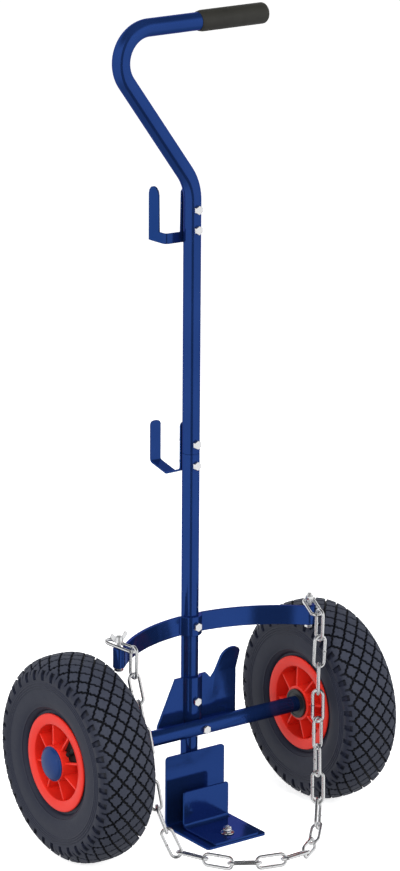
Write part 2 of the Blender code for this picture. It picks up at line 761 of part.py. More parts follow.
def stop_screw(zinc, foot):
    """The clamp of the stop plate: a countersunk screw through the foot and a flange nut."""
    place = stop_bolt_place()
    seat = FOOT_THICKNESS + STOP_THICKNESS + 2 * FIT
    top = seat + FLANGE_NUT_FLANGE + NUT_HEIGHT + STOP_BOLT_STAND
    up = (0, 0, 1)
    body = countersunk(0, FIT / 2, top)
    add("stop_bolt", stack(body, place, up), zinc)
    hole = stack(countersunk(FIT, -FOOT_THICKNESS, 2 * FOOT_THICKNESS), place, up)
    combine(foot, guide("stop_bolt_hole", hole), "DIFFERENCE")
    hexagon = HEX_WIDTH / math.sqrt(3)
    rings = [
        (0, FLANGE_NUT_RADIUS, False),
        (FLANGE_NUT_FLANGE, FLANGE_NUT_RADIUS, False),
        (FLANGE_NUT_FLANGE, hexagon, True),
        (FLANGE_NUT_FLANGE + NUT_HEIGHT, hexagon, True),
    ]
    add("stop_nut", nut_stack(rings, HOLE_RADIUS, place + Vector((0, 0, seat + FIT)), up), zinc)


def through_bolt(name, zinc, height, front, back, pieces):
    """A hexagon bolt along Y with its lock nut, and its hole through every piece it clamps."""
    hexagon = HEX_WIDTH / math.sqrt(3)
    head, nut = front - FIT, back + FIT
    rings = [
        (head - HEAD_HEIGHT, hexagon, True),
        (head, hexagon, True),
        (head, BOLT_RADIUS, False),
        (nut, BOLT_RADIUS, False),
        (nut, hexagon, True),
        (nut + NUT_HEIGHT, hexagon, True),
    ]
    back_axis = (0, 1, 0)
    centre = Vector((0, 0, height))
    add(name, stack(rings, centre, back_axis), zinc)
    cutter = guide(name + "_hole", pin(head, nut, HOLE_RADIUS, centre, back_axis))
    for piece in pieces:
        combine(piece, cutter, "DIFFERENCE")


def tyre_bead():
    """Outer and inner side of a bead, measured from the wheel's middle plane."""
    outside = RIM_WIDTH / 2 - RIM_LIP - FIT
    return outside, outside - TYRE_BEAD


def tyre_cavity():
    """Centre radius, half width and half height of the oval hollow in the tyre."""
    crown = TYRE_RADIUS - TYRE_TREAD
    floor = RIM_SEAT_RADIUS + 2 * FIT
    return (crown + floor) / 2, TYRE_WIDTH / 2 - TYRE_SIDEWALL, (crown - floor) / 2


def cavity_arc(inset):
    """The oval from bead to bead, drawn in by an inset."""
    middle, wide, tall = tyre_cavity()
    first = math.asin(tyre_bead()[1] / wide)
    arc = []
    for k in range(7):
        angle = first + (2 * math.pi - 2 * first) * k / 6
        arc.append(((wide - inset) * math.sin(angle), middle - (tall - inset) * math.cos(angle)))
    return arc


def tyre_section(steps=140):
    """Outer section from the crown to the rim, as rows of length from the crown, across and radius."""
    rows = []
    length = 0
    for k in range(steps + 1):
        angle = math.pi / 2 - (math.pi / 2 + TYRE_FOOT_ANGLE) * k / steps
        tall, power = TYRE_RADIUS - TYRE_WIDEST_RADIUS, 2 / TYRE_CROWN_POWER
        if angle < 0:
            tall, power = RIM_RADIUS + FIT - TYRE_WIDEST_RADIUS, 2 / TYRE_WALL_POWER
        across = TYRE_WIDTH / 2 * abs(math.cos(angle)) ** power
        radius = TYRE_WIDEST_RADIUS + tall * abs(math.sin(angle)) ** power
        if rows:
            length += math.hypot(across - rows[-1][1], radius - rows[-1][2])
        rows.append((length, across, radius))
    return rows


def tyre_point(section, along, sunk=0.0):
    """Place across and radius of a point by its length from the crown and its depth under the skin."""
    reach = min(abs(along), section[-1][0])
    k = next(k for k in range(1, len(section)) if section[k][0] >= reach)
    before, after = Vector(section[k - 1][1:]), Vector(section[k][1:])
    step = after - before
    place = before + step * (reach - section[k - 1][0]) / step.length
    inward = Vector((step.y, -step.x)).normalized()
    place += inward * sunk
    return math.copysign(place.x, along), place.y


def tyre_foot(section):
    """Half section of the tyre from its shoulder to its bead and the middle of its hollow."""
    shoulder = TREAD_ROWS * TREAD_ROW_WIDTH + TREAD_SHOULDER
    end = section[-1][0]
    wall = [tyre_point(section, shoulder + (end - shoulder) * share) for share in (0, 0.3, 0.65, 1)]
    seat = RIM_SEAT_RADIUS + FIT
    outside, inside = tyre_bead()
    arc = cavity_arc(0)
    bead = [(outside, RIM_RADIUS + FIT), (outside, seat), (inside, seat)]
    return wall + bead + arc[:len(arc) // 2 + 1]


def wheel_rings(shape, profile, sides):
    """Rings of vertices round the wheel that stand on a flat of their facets."""
    rings = []
    for across, radius in profile:
        turns = turn_points(sides, math.pi / sides)
        rings.append([shape.verts.new(Vector((across, 0, 0)) + radial(turn) * radius) for turn in turns])
    return rings


def tread_vertex(shape, section, turn, along, sunk=0.0):
    across, radius = tyre_point(section, along, sunk)
    return shape.verts.new(Vector((across, 0, 0)) + radial(turn) * radius)


def tread_block(shape, section, corners, turn, along):
    """A diamond block raised inside its four groove crossings: start, low, end and high."""
    half = math.pi * TYRE_RADIUS / TREAD_BLOCKS
    edge = math.hypot(half, TREAD_ROW_WIDTH)
    share = 1 - TREAD_GROOVE / 2 * edge / (half * TREAD_ROW_WIDTH)
    reach, rise = share * half / TYRE_RADIUS, share * TREAD_ROW_WIDTH
    top = []
    for side, lift in ((-1, 0), (0, -1), (1, 0), (0, 1)):
        top.append(tread_vertex(shape, section, turn + side * reach, along + lift * rise))
    for k in range(4):
        following = (k + 1) % 4
        shape.faces.new((corners[k], corners[following], top[following]))
        shape.faces.new((corners[k], top[following], top[k]))
    shape.faces.new(top[:3])
    shape.faces.new((top[0], top[2], top[3]))


def tread_lug(shape, section, corners, turn, side):
    """The outermost block, which runs down the shoulder between two tapering slits.  Its corners are
    the groove crossings at its start, apex and end, and the ends of the slits."""
    start, apex, end, start_slit, end_slit = corners
    half = math.pi * TYRE_RADIUS / TREAD_BLOCKS
    slope = math.hypot(half, TREAD_ROW_WIDTH)
    width = TREAD_GROOVE / 2
    foot = TREAD_ROWS * TREAD_ROW_WIDTH + width * (slope - TREAD_ROW_WIDTH) / half
    tip = (TREAD_ROWS - 1) * TREAD_ROW_WIDTH + width * slope / half
    reach = (half - width) / TYRE_RADIUS
    first = tread_vertex(shape, section, turn - reach, side * foot)
    peak = tread_vertex(shape, section, turn, side * tip)
    second = tread_vertex(shape, section, turn + reach, side * foot)
    loops = [(apex, start, first), (apex, first, peak), (apex, peak, second), (apex, second, end)]
    loops += [(peak, first, second), (first, start_slit, end_slit), (first, end_slit, second)]
    loops += [(start, start_slit, first), (end, second, end_slit)]
    for loop in loops:
        shape.faces.new(loop)


def tread(shape, section, shoulders):
    """Diamond blocks round the crown between rows of groove crossings, every second row half a block
    further, with lugs out to the two rings of the shoulders."""
    pitch = 2 * math.pi / TREAD_BLOCKS
    rows = {}
    for row in range(-TREAD_ROWS, TREAD_ROWS + 1):
        shift = 0.5 * ((row + TREAD_ROWS + 1) % 2)
        turns = turn_points(TREAD_BLOCKS, pitch * shift)
        along = row * TREAD_ROW_WIDTH
        rows[row] = [tread_vertex(shape, section, turn, along, TREAD_DEPTH) for turn in turns]
    for row, crossings in rows.items():
        shifted = (row + TREAD_ROWS + 1) % 2
        for k, start in enumerate(crossings):
            following = (k + 1) % TREAD_BLOCKS
            between = (k + shifted) % TREAD_BLOCKS
            turn = pitch * (k + 0.5 + 0.5 * shifted)
            end = crossings[following]
            if abs(row) < TREAD_ROWS:
                corners = (start, rows[row - 1][between], end, rows[row + 1][between])
                tread_block(shape, section, corners, turn, row * TREAD_ROW_WIDTH)
            else:
                side = 1 if row > 0 else -1
                ring = shoulders[side]
                corners = (start, rows[row - side][between], end, ring[k], ring[following])
                tread_lug(shape, section, corners, turn, side)


def tyre_shape():
    """The hollow tyre with its tread, drawn out so that its lowest block stands on the floor."""
    shape = bmesh.new()
    section = tyre_section()
    foot = tyre_foot(section)
    far = [(-across, radius) for across, radius in reversed(foot[:-1])]
    rings = wheel_rings(shape, foot + far, TREAD_BLOCKS)
    for first, second in zip(rings, rings[1:]):
        join_rings(shape, first, second)
    tread(shape, section, {1: rings[0], -1: rings[-1]})
    stretch = TYRE_RADIUS / max(-vertex.co.z for vertex in shape.verts)
    bmesh.ops.scale(shape, vec=(1, stretch, stretch), verts=shape.verts)
    return shape


def tube_shape(inset):
    """A ring with the oval section of the inner tube."""
    shape = bmesh.new()
    middle, _, tall = tyre_cavity()
    rings = wheel_rings(shape, cavity_arc(inset) + [(0, middle - tall + inset)], TREAD_BLOCKS)
    for first, second in zip(rings, rings[1:] + rings[:1]):
        join_rings(shape, first, second)
    return shape


def radial(angle):
    return Vector((0, math.sin(angle), math.cos(angle)))


def on_wheel(side, angle):
    """An angle from the top towards the back of the cart, as the wheel on that side counts it."""
    return angle if side == "right" else -angle


def valve_angle(side):
    """Direction of the valve and its window: the middle of one sector between two ribs."""
    sector = 2 * math.pi / RIM_RIBS
    return on_wheel(side, RIM_RIB_PHASE[side] + sector * (RIM_WINDOW_SECTOR[side] + 0.5))


def inner_tube(side, rubber, wheel):
    """The air tube with its valve; its hollow opens through the valve's bore."""
    middle, _, tall = tyre_cavity()
    inset = TUBE_CLEARANCE
    tube = add(side + "_inner_tube", tube_shape(inset), rubber, wheel)
    aim = radial(valve_angle(side))
    stem = pin(VALVE_TIP_RADIUS, middle - tall / 2, VALVE_RADIUS, (0, 0, 0), aim)
    combine(tube, guide(side + "_valve_stem", stem, wheel), "UNION")
    hollow = guide(side + "_tube_hollow", tube_shape(inset + TUBE_WALL), wheel)
    combine(tube, hollow, "DIFFERENCE")
    bore = pin(VALVE_TIP_RADIUS - CUT_PAST, middle, VALVE_BORE_RADIUS, (0, 0, 0), aim)
    combine(tube, guide(side + "_valve_bore", bore, wheel), "DIFFERENCE")
    return tube


def rim_profile():
    """Closed section of the rim: hub, web, barrel and two lips."""
    web = RIM_WEB / 2
    half = RIM_WIDTH / 2
    bore = hub_bore_radius()
    recess = HUB_OUTER_LENGTH - HUB_RECESS_DEPTH
    hub = [(-HUB_INNER_LENGTH, bore), (recess, bore), (recess, HUB_RECESS_RADIUS)]
    hub += [(HUB_OUTER_LENGTH, HUB_RECESS_RADIUS), (HUB_OUTER_LENGTH, HUB_RADIUS), (web, HUB_RADIUS)]
    lip = [(web, RIM_BARREL_RADIUS), (half - RIM_FACE_DEPTH, RIM_BARREL_RADIUS)]
    lip += [(half, RIM_RADIUS - RIM_FACE_EDGE), (half - RIM_LIP / 4, RIM_RADIUS)]
    lip += [(half - RIM_LIP, RIM_RADIUS), (half - RIM_LIP, RIM_SEAT_RADIUS)]
    far = [(-along, radius) for along, radius in reversed(lip)]
    return hub + lip + far + [(-web, HUB_RADIUS), (-HUB_INNER_LENGTH, HUB_RADIUS)]


def hub_bore_radius():
    flat = math.cos(math.pi / HUB_SIDES)
    return (AXLE_RADIUS + RUNNING_FIT) / flat + BEARING_WALL + FIT


def rib_blocks(phase):
    """Radial ribs that stand on both faces of the web."""
    shape = bmesh.new()
    foot, tip = HUB_RADIUS - RIM_WEB / 2, RIM_BARREL_RADIUS + RIM_WEB / 2
    high = RIM_WIDTH / 2 - RIM_FACE_DEPTH / 2
    low = high - RIM_RIB_DEPTH
    for k in range(RIM_RIBS):
        angle = phase + 2 * math.pi * k / RIM_RIBS
        out, across = radial(angle), radial(angle + math.pi / 2)
        corners = []
        for radius, reach in ((foot, high), (tip, low)):
            for along in (-reach, reach):
                for shift in (-RIM_RIB_THICKNESS / 2, RIM_RIB_THICKNESS / 2):
                    corners.append(shape.verts.new(Vector((along, 0, 0)) + out * radius + across * shift))
        for loop in ((0, 1, 3, 2), (4, 6, 7, 5), (0, 4, 5, 1), (2, 3, 7, 6), (0, 2, 6, 4), (1, 5, 7, 3)):
            shape.faces.new([corners[i] for i in loop])
    return shape


def window_block(angle):
    """The sector of web that is left open round the valve."""
    inner = HUB_RADIUS + RIM_WINDOW_MARGIN
    outer = RIM_BARREL_RADIUS - RIM_WINDOW_MARGIN
    spread = math.pi / RIM_RIBS
    shape = bmesh.new()
    outline = []
    for radius, turns in ((inner, (-1, 0, 1)), (outer, (1, 0.33, -0.33, -1))):
        half = spread - math.asin((RIM_RIB_THICKNESS / 2 + RIM_WINDOW_MARGIN) / radius)
        outline += [radial(angle + turn * half) * radius for turn in turns]
    face = shape.faces.new([shape.verts.new(point - Vector((RIM_WEB, 0, 0))) for point in outline])
    raised = bmesh.ops.extrude_face_region(shape, geom=[face])["geom"]
    far = [item for item in raised if isinstance(item, bmesh.types.BMVert)]
    bmesh.ops.translate(shape, verts=far, vec=(2 * RIM_WEB, 0, 0))
    return shape


def wheel_rim(side, plastic, wheel):
    rim = add(side + "_rim", revolve(rim_profile(), WHEEL_SIDES, math.pi / WHEEL_SIDES), plastic, wheel)
    angle = valve_angle(side)
    ribs = rib_blocks(on_wheel(side, RIM_RIB_PHASE[side]))
    combine(rim, guide(side + "_rim_ribs", ribs, wheel), "UNION")
    combine(rim, guide(side + "_rim_window", window_block(angle), wheel), "DIFFERENCE")
    inner, outer = RIM_BARREL_RADIUS - RIM_WEB, RIM_SEAT_RADIUS + RIM_WEB
    hole = pin(inner, outer, VALVE_RADIUS + FIT, (0, 0, 0), radial(angle))
    combine(rim, guide(side + "_valve_hole", hole, wheel), "DIFFERENCE")
    return rim


def wheel_fittings(side, black, blue, zinc, wheel, axle):
    """Bearing sleeve and hub cap on the wheel, and the push-on clip on the axle."""
    flat = math.cos(math.pi / HUB_SIDES)
    bore = (AXLE_RADIUS + RUNNING_FIT) / flat
    recess = HUB_OUTER_LENGTH - HUB_RECESS_DEPTH
    face = -HUB_INNER_LENGTH - FIT
    front = face - BEARING_FLANGE
    sleeve = [(recess - FIT, bore), (recess - FIT, bore + BEARING_WALL), (face, bore + BEARING_WALL)]
    sleeve += [(face, BEARING_FLANGE_RADIUS), (front, BEARING_FLANGE_RADIUS), (front, bore)]
    add(side + "_bearing", revolve(sleeve, HUB_SIDES), black, wheel)
    clip_bore = AXLE_RADIUS / flat + FIT
    near, far = recess + FIT, recess + FIT + CLIP_THICKNESS
    ring = [(near, clip_bore), (far, clip_bore), (far, CLIP_RADIUS), (near, CLIP_RADIUS)]
    add(side + "_axle_clip", revolve(ring, HUB_SIDES), zinc, axle)
    seat = HUB_OUTER_LENGTH + FIT
    plug = HUB_RECESS_RADIUS - FIT
    foot = seat - CAP_SPIGOT_LENGTH
    dome = [(foot, plug - CAP_WALL), (foot, plug), (seat, plug), (seat, CAP_RADIUS)]
    for k in range(4):
        angle = math.radians(20 + 70 * k / 3)
        dome.append((seat + CAP_HEIGHT * math.sin(angle), CAP_RADIUS * math.cos(angle) if k < 3 else 0))
    inside = CAP_HEIGHT - CAP_WALL
    for k in reversed(range(3)):
        angle = math.radians(90 * (k + 1) / 3)
        dome.append((seat + inside * math.sin(angle), (plug - CAP_WALL) * math.cos(angle) if k < 2 else 0))
    add(side + "_hub_cap", revolve(dome, HUB_SIDES), blue, wheel)


def axle_tube(paint):
    half = WHEEL_TRACK / 2 + HUB_OUTER_LENGTH - AXLE_END_STAND
    along = Vector((1, 0, 0))
    ends = [AXLE_CENTRE + along * reach for reach in (-half, half)]
    stations = [(end, along, AXLE_RADIUS, AXLE_RADIUS - AXLE_WALL) for end in ends]
    return add("axle_tube", pipe(stations, TUBE_SIDES, Vector((0, 1, 0))), paint)


def chain_seat():
    """Height of an end link's middle plane where the bolt passes it, above the band's top."""
    rim = EYE_RADIUS + BAND_THICKNESS / 2
    inside = LINK_BEND - WIRE_RADIUS
    edge = math.sqrt(max(0.0, rim ** 2 - inside ** 2))
    return WIRE_RADIUS / math.cos(END_LINK_DROOP) + edge * math.tan(END_LINK_DROOP) + FIT


def chain_nut_seat():
    """Height of a chain nut's underside, clear of the slanting wires of the end link."""
    reach = max(WING_NUT_RADIUS, HEX_WIDTH / math.sqrt(3))
    wire = reach * math.tan(END_LINK_DROOP) + WIRE_RADIUS / math.cos(END_LINK_DROOP)
    return BAND_TOP + chain_seat() + wire + FIT


def chain_screws(zinc):
    """Upright bolts in the rolled eyes: a wing nut on the left one, a hexagon nut on the right."""
    hexagon = HEX_WIDTH / math.sqrt(3)
    up = (0, 0, 1)
    seat = chain_nut_seat()
    for side, name in ((-1, "left"), (1, "right")):
        place = chain_bolt_place(side).to_2d().to_3d()
        head = BAND_BOTTOM - FIT
        rings = [
            (head - HEAD_HEIGHT, hexagon, True),
            (head, hexagon, True),
            (head, BOLT_RADIUS, False),
            (BAND_TOP + CHAIN_BOLT_STAND, BOLT_RADIUS, False),
        ]
        add(name + "_chain_bolt", stack(rings, place, up), zinc)
    rings = [(0, hexagon, True), (NUT_HEIGHT, hexagon, True)]
    right = chain_bolt_place(1).to_2d().to_3d()
    add("right_chain_nut", nut_stack(rings, HOLE_RADIUS, right + Vector((0, 0, seat)), up), zinc)
    left = chain_bolt_place(-1).to_2d().to_3d()
    wing_nut(zinc, pivot("wing_nut_axis", left + Vector((0, 0, seat))))


def wing_nut(zinc, axis):
    """A turned boss with two rounded wings that rise from its sides."""
    up = (0, 0, 1)
    rings = [(0, WING_NUT_RADIUS, False), (WING_NUT_HEIGHT, WING_NUT_RADIUS - WING_NUT_TAPER, False)]
    nut = add("wing_nut", nut_stack(rings, HOLE_RADIUS, (0, 0, 0), up), zinc, axis)
    wings = bmesh.new()
    radius = WING_HEIGHT / 4
    for side in (-1, 1):
        foot = (HOLE_RADIUS + WING_NUT_RADIUS) / 2
        crown = Vector((WING_SPAN / 2 - radius, WING_HEIGHT - radius))
        outline = [Vector((foot, WING_NUT_TAPER)), Vector((WING_NUT_RADIUS, WING_NUT_TAPER))]
        for k in range(6):
            angle = math.radians(-40 + 200 * k / 5)
            outline.append(crown + radius * Vector((math.cos(angle), math.sin(angle))))
        outline.append(Vector((foot, WING_NUT_HEIGHT - WING_NUT_TAPER)))
        flat = [wings.verts.new((side * p.x, -WING_THICKNESS / 2, p.y)) for p in outline]
        face = wings.faces.new(flat)
        raised = bmesh.ops.extrude_face_region(wings, geom=[face])["geom"]
        far = [item for item in raised if isinstance(item, bmesh.types.BMVert)]
        bmesh.ops.translate(wings, verts=far, vec=(0, WING_THICKNESS, 0))
    combine(nut, guide("wing_nut_wings", wings, axis), "UNION")


def link_shape():
    """One long link in its X-Y plane, long along X."""
    shape = bmesh.new()
    rings = []
    for end in (1, -1):
        for k in range(5):
            angle = math.radians(-90 + 45 * k)
            out = Vector((end * math.cos(angle), end * math.sin(angle), 0))
            centre = Vector((end * LINK_STRAIGHT, 0, 0)) + out * LINK_BEND
            ring = []
            for turn in turn_points(WIRE_SIDES):
                offset = out * math.cos(turn) + Vector((0, 0, math.sin(turn)))
                ring.append(shape.verts.new(centre + offset * WIRE_RADIUS))
            rings.append(ring)
    for first, second in zip(rings, rings[1:] + rings[:1]):
        join_rings(shape, first, second)
    return shape


def end_link(side):
    """Centre, direction and normal of an end link, which droops forward from its bolt."""
    flat = math.cos(END_LINK_DROOP)
    name = "right" if side > 0 else "left"
    toe_in, slide = END_LINK_TOE_IN[name], END_LINK_SLIDE[name]
    inward, forward = -side * math.sin(toe_in), -math.cos(toe_in)
    aim = Vector((flat * inward, flat * forward, -math.sin(END_LINK_DROOP)))
    bolt = chain_bolt_place(side)
    bolt.z = BAND_TOP + chain_seat()
    across = aim.cross(Vector((0, 0, 1))).normalized()
    return bolt + aim * (LINK_STRAIGHT - slide), aim, across.cross(aim)


def bearing_step(plane, normal, along):
    """From the centre of one link's bend to that of the next, along the crossing of their planes."""
    cross = plane.cross(normal).normalized()
    return cross * math.copysign(LINK_BEARING, cross.dot(along))


def hang_point(side, axis):
    """Centre of the upper bend of the free link that hangs on an end link, square to an axis."""
    centre, aim, plane = end_link(side)
    return centre + aim * LINK_STRAIGHT + bearing_step(plane, axis, aim)


def swing_axis():
    """Direction of the line through the two points that the free run hangs from."""
    axis = Vector((1, 0, 0))
    for _ in range(6):
        axis = (hang_point(1, axis) - hang_point(-1, axis)).normalized()
    return axis


def plumb(axis):
    """The way down, square to an axis."""
    return (axis * axis.z - Vector((0, 0, 1))).normalized()


def smooth_route(points, steps=24):
    """Points along a smooth curve through the route."""
    padded = [2 * points[0] - points[1]] + points + [2 * points[-1] - points[-2]]
    curve = []
    for a, b, c, d in zip(padded, padded[1:], padded[2:], padded[3:]):
        for k in range(steps):
            t = k / steps
            bend = (2 * a - 5 * b + 4 * c - d) * t ** 2 + (3 * b - a - 3 * c + d) * t ** 3
            curve.append(0.5 * (2 * b + (c - a) * t + bend))
    return curve + [points[-1]]


def route_lengths(start, end, forward):
    """The route with its reach to the front drawn out, and the length up to each of its points."""
    spacing = CHAIN_BOLT_SPACING
    route = [Vector((x * spacing, y * spacing * forward, z * BAND_LEVEL)) for x, y, z in CHAIN_ROUTE]
    curve = smooth_route([start] + route + [end])
    lengths = [0.0]
    for first, second in zip(curve, curve[1:]):
        lengths.append(lengths[-1] + (second - first).length)
    return curve, lengths


def route_points(start, end, count):
    """Evenly spaced points along the chain's route, drawn out to the front for a chain with more slack."""
    low, high = 1.0, 2.0
    for _ in range(30):
        forward = (low + high) / 2
        curve, lengths = route_lengths(start, end, forward)
        if lengths[-1] < CHAIN_EASE * LINK_PITCH * (count - 1):
            low = forward
        else:
            high = forward
    points = []
    spot = 0
    for k in range(count):
        target = lengths[-1] * k / (count - 1)
        while spot < len(lengths) - 2 and lengths[spot + 1] < target:
            spot += 1
        share = (target - lengths[spot]) / (lengths[spot + 1] - lengths[spot])
        points.append(curve[spot].lerp(curve[spot + 1], share))
    return points


def settle(points, start, end):
    """Pull the points to one pitch apart between two fixed ends, above the floor."""
    count = len(points)
    for _ in range(60):
        for order, held in ((range(count), start), (range(count - 1, -1, -1), end)):
            points[order[0]] = held.copy()
            for k, following in zip(order, order[1:]):
                reach = points[following] - points[k]
                points[following] = points[k] + reach.normalized() * LINK_PITCH
                points[following].z = max(points[following].z, CHAIN_LIE)


def link_roll(number):
    """Turn of a link about its own length, between the rolls that are given."""
    for (first, low), (last, high) in zip(LINK_ROLL, LINK_ROLL[1:]):
        if number <= last:
            return math.radians(low + (high - low) * (number - first) / (last - first))
    return math.radians(LINK_ROLL[-1][1])


def free_links(points, start, axis):
    """Centre, direction and normal of the free links, each borne in the bend of the one before."""
    down = plumb(axis)
    aims = [down] + [(b - a).normalized() for a, b in zip(points, points[1:])] + [-down]
    links = []
    for number, along in enumerate(aims, start=2):
        face = (CHAIN_FACE - along * CHAIN_FACE.dot(along)).normalized()
        roll = link_roll(number) + (number + 1) % 2 * math.pi / 2
        normal = face * math.cos(roll) + along.cross(face) * math.sin(roll)
        if number in (2, LINK_COUNT - 1):
            normal = axis
        if links:
            centre, before, plane = links[-1]
            start = centre + (before + along) * LINK_STRAIGHT + bearing_step(plane, normal, before + along)
        links.append((start, along, normal))
    return links


def hung_chain():
    """The free run, settled until its last link hangs where the left end link needs it."""
    axis = swing_axis()
    down = plumb(axis)
    right, left = hang_point(1, axis), hang_point(-1, axis)
    joint = down * (LINK_PITCH - LINK_BEARING / 2)
    start, end = right + joint, left + joint
    points = route_points(start, end, LINK_COUNT - 3)
    links = []
    for _ in range(30):
        settle(points, start, end)
        links = free_links(points, right + down * LINK_STRAIGHT, axis)
        end += left + down * LINK_STRAIGHT - links[-1][0]
    return links


def place_link(name, mesh, centre, along, normal, parent):
    link = add_mesh(name, mesh, parent)
    axes = Matrix((along, normal.cross(along), normal)).transposed().to_4x4()
    home = Vector(parent.location) if parent else Vector()
    link.matrix_local = Matrix.Translation(centre - home) @ axes


def chain(zinc):
    """The end links stay on their bolts; the free run swings as one about their far bends."""
    shape = link_shape()
    bmesh.ops.recalc_face_normals(shape, faces=shape.faces)
    mesh = bpy.data.meshes.new("chain_link")
    shape.to_mesh(mesh)
    shape.free()
    mesh.shade_smooth()
    mesh.materials.append(zinc)
    swing = pivot("chain_swing_axis", hang_point(1, swing_axis()))
    for side, number in ((1, 1), (-1, LINK_COUNT)):
        place_link(f"chain_link_{number:02d}", mesh, *end_link(side), None)
    for number, (centre, along, normal) in enumerate(hung_chain(), start=2):
        place_link(f"chain_link_{number:02d}", mesh, centre, along, normal, swing)


def wheel(side, materials):
    outward = 1 if side == "right" else -1
    place = AXLE_CENTRE + Vector((outward * WHEEL_TRACK / 2, 0, 0))
    turn = 0 if side == "right" else math.pi
    hub = pivot(side + "_wheel_axis", place, turn)
    fixed = pivot(side + "_axle_end", place, turn)
    add(side + "_tyre", tyre_shape(), materials["tyre"], hub)
    inner_tube(side, materials["rubber"], hub)
    wheel_rim(side, materials["red plastic"], hub)
    black, blue = materials["black plastic"], materials["blue plastic"]
    wheel_fittings(side, black, blue, materials["zinc"], hub, fixed)


def build():
    clear_scene()
    materials = {
        "blue paint": finish("blue paint", (0.012, 0.028, 0.16), 0.28, 0.0),
        "rubber": finish("rubber", (0.03, 0.03, 0.032), 0.7, 0.0),
        "grip": finish("grip", (0.035, 0.036, 0.038), 0.75, 0.0),
        "tyre": finish("tyre", (0.022, 0.022, 0.024), 0.8, 0.0),
        "red plastic": finish("red plastic", (0.75, 0.04, 0.03), 0.4, 0.0),
        "black plastic": finish("black plastic", (0.03, 0.03, 0.03), 0.5, 0.0),
        "blue plastic": finish("blue plastic", (0.015, 0.06, 0.25), 0.3, 0.0),
        "zinc": finish("zinc", (0.75, 0.76, 0.77), 0.3, 1.0),
    }
    paint, zinc = materials["blue paint"], materials["zinc"]
    post = post_tube(paint)
    handle = handle_tube(paint)
    hand_grip(materials["grip"])
    bracket = axle_bracket(paint)
    band = cradle_band(paint)
    top_hook = upper_hook(paint)
    cup_hook = lower_hook(paint)
    axle = axle_tube(paint)
    foot = foot_plate(paint)
    stop_plate(paint)
    stop_screw(zinc, foot)
    hook_back = POST_BACK + FIT + HOOK_THICKNESS
    high, low = UPPER_HOOK_BOLT_HEIGHT, UPPER_HOOK_BOLT_HEIGHT - UPPER_HOOK_BOLT_SPACING
    through_bolt("upper_hook_bolt_top", zinc, high, POST_FRONT, hook_back, (handle, top_hook))
    through_bolt("upper_hook_bolt_bottom", zinc, low, POST_FRONT, hook_back, (handle, top_hook))
    high, low = LOWER_HOOK_BOLT_HEIGHT, LOWER_HOOK_BOLT_HEIGHT - LOWER_HOOK_BOLT_SPACING
    through_bolt("lower_hook_bolt_top", zinc, high, POST_FRONT, hook_back, (handle, cup_hook))
    through_bolt("lower_hook_bolt_bottom", zinc, low, POST_FRONT, hook_back, (handle, post, cup_hook))
    band_front = POST_FRONT - FIT - BAND_THICKNESS
    through_bolt("cradle_bolt", zinc, BAND_LEVEL, band_front, POST_BACK, (post, band))
    bracket_front = POST_FRONT - FIT - BRACKET_THICKNESS
    through_bolt("bracket_bolt", zinc, BRACKET_BOLT_HEIGHT, bracket_front, POST_BACK, (post, bracket))
    axle_front = AXLE_SETBACK - AXLE_RADIUS
    through_bolt("axle_bolt", zinc, TYRE_RADIUS, axle_front, POST_BACK, (post, bracket, axle))
    chain_screws(zinc)
    for side in ("left", "right"):
        wheel(side, materials)
    chain(zinc)


build()
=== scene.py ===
import math

import bmesh
import bpy
import numpy as np
from mathutils import Matrix, Vector


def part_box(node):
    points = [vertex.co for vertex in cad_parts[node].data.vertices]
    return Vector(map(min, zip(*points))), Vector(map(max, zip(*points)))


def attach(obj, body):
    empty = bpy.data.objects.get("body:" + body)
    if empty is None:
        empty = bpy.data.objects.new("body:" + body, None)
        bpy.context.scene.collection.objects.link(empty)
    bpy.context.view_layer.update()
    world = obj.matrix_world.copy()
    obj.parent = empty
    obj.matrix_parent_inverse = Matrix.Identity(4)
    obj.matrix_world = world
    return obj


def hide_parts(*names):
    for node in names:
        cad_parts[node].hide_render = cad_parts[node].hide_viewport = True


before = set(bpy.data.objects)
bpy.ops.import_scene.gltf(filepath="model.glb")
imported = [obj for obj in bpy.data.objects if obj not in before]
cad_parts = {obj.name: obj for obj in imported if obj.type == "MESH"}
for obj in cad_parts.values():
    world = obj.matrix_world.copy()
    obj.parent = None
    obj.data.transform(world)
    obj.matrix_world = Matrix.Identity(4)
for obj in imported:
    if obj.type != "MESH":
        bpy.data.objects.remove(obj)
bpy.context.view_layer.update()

# Post
# A straight length of round steel tube, powder coated a glossy dark blue. The hooks, the band and the
# bracket are bolted through it, the foot is welded to its front, and its upper end takes the handle.

MM = 0.001
UP = Vector((0, 0, 1))
BACK = Vector((0, 1, 0))
RIGHT = Vector((1, 0, 0))
TUBE_RADIUS = 11.0
TUBE_WALL = 1.0
TUBE_SIDES = 64
TUBE_EDGE = 0.4


class Shade:
    """An output socket that takes part in sums; each sum is a Math node."""

    def __init__(self, finish, socket):
        self.finish = finish
        self.socket = socket

    def math(self, operation, first, second):
        return self.finish.node("ShaderNodeMath", {"operation": operation}, {0: first, 1: second})

    def __add__(self, other):
        return self.math("ADD", self, other)

    def __radd__(self, other):
        return self.math("ADD", other, self)

    def __sub__(self, other):
        return self.math("SUBTRACT", self, other)

    def __rsub__(self, other):
        return self.math("SUBTRACT", other, self)

    def __mul__(self, other):
        return self.math("MULTIPLY", self, other)

    def __rmul__(self, other):
        return self.math("MULTIPLY", other, self)


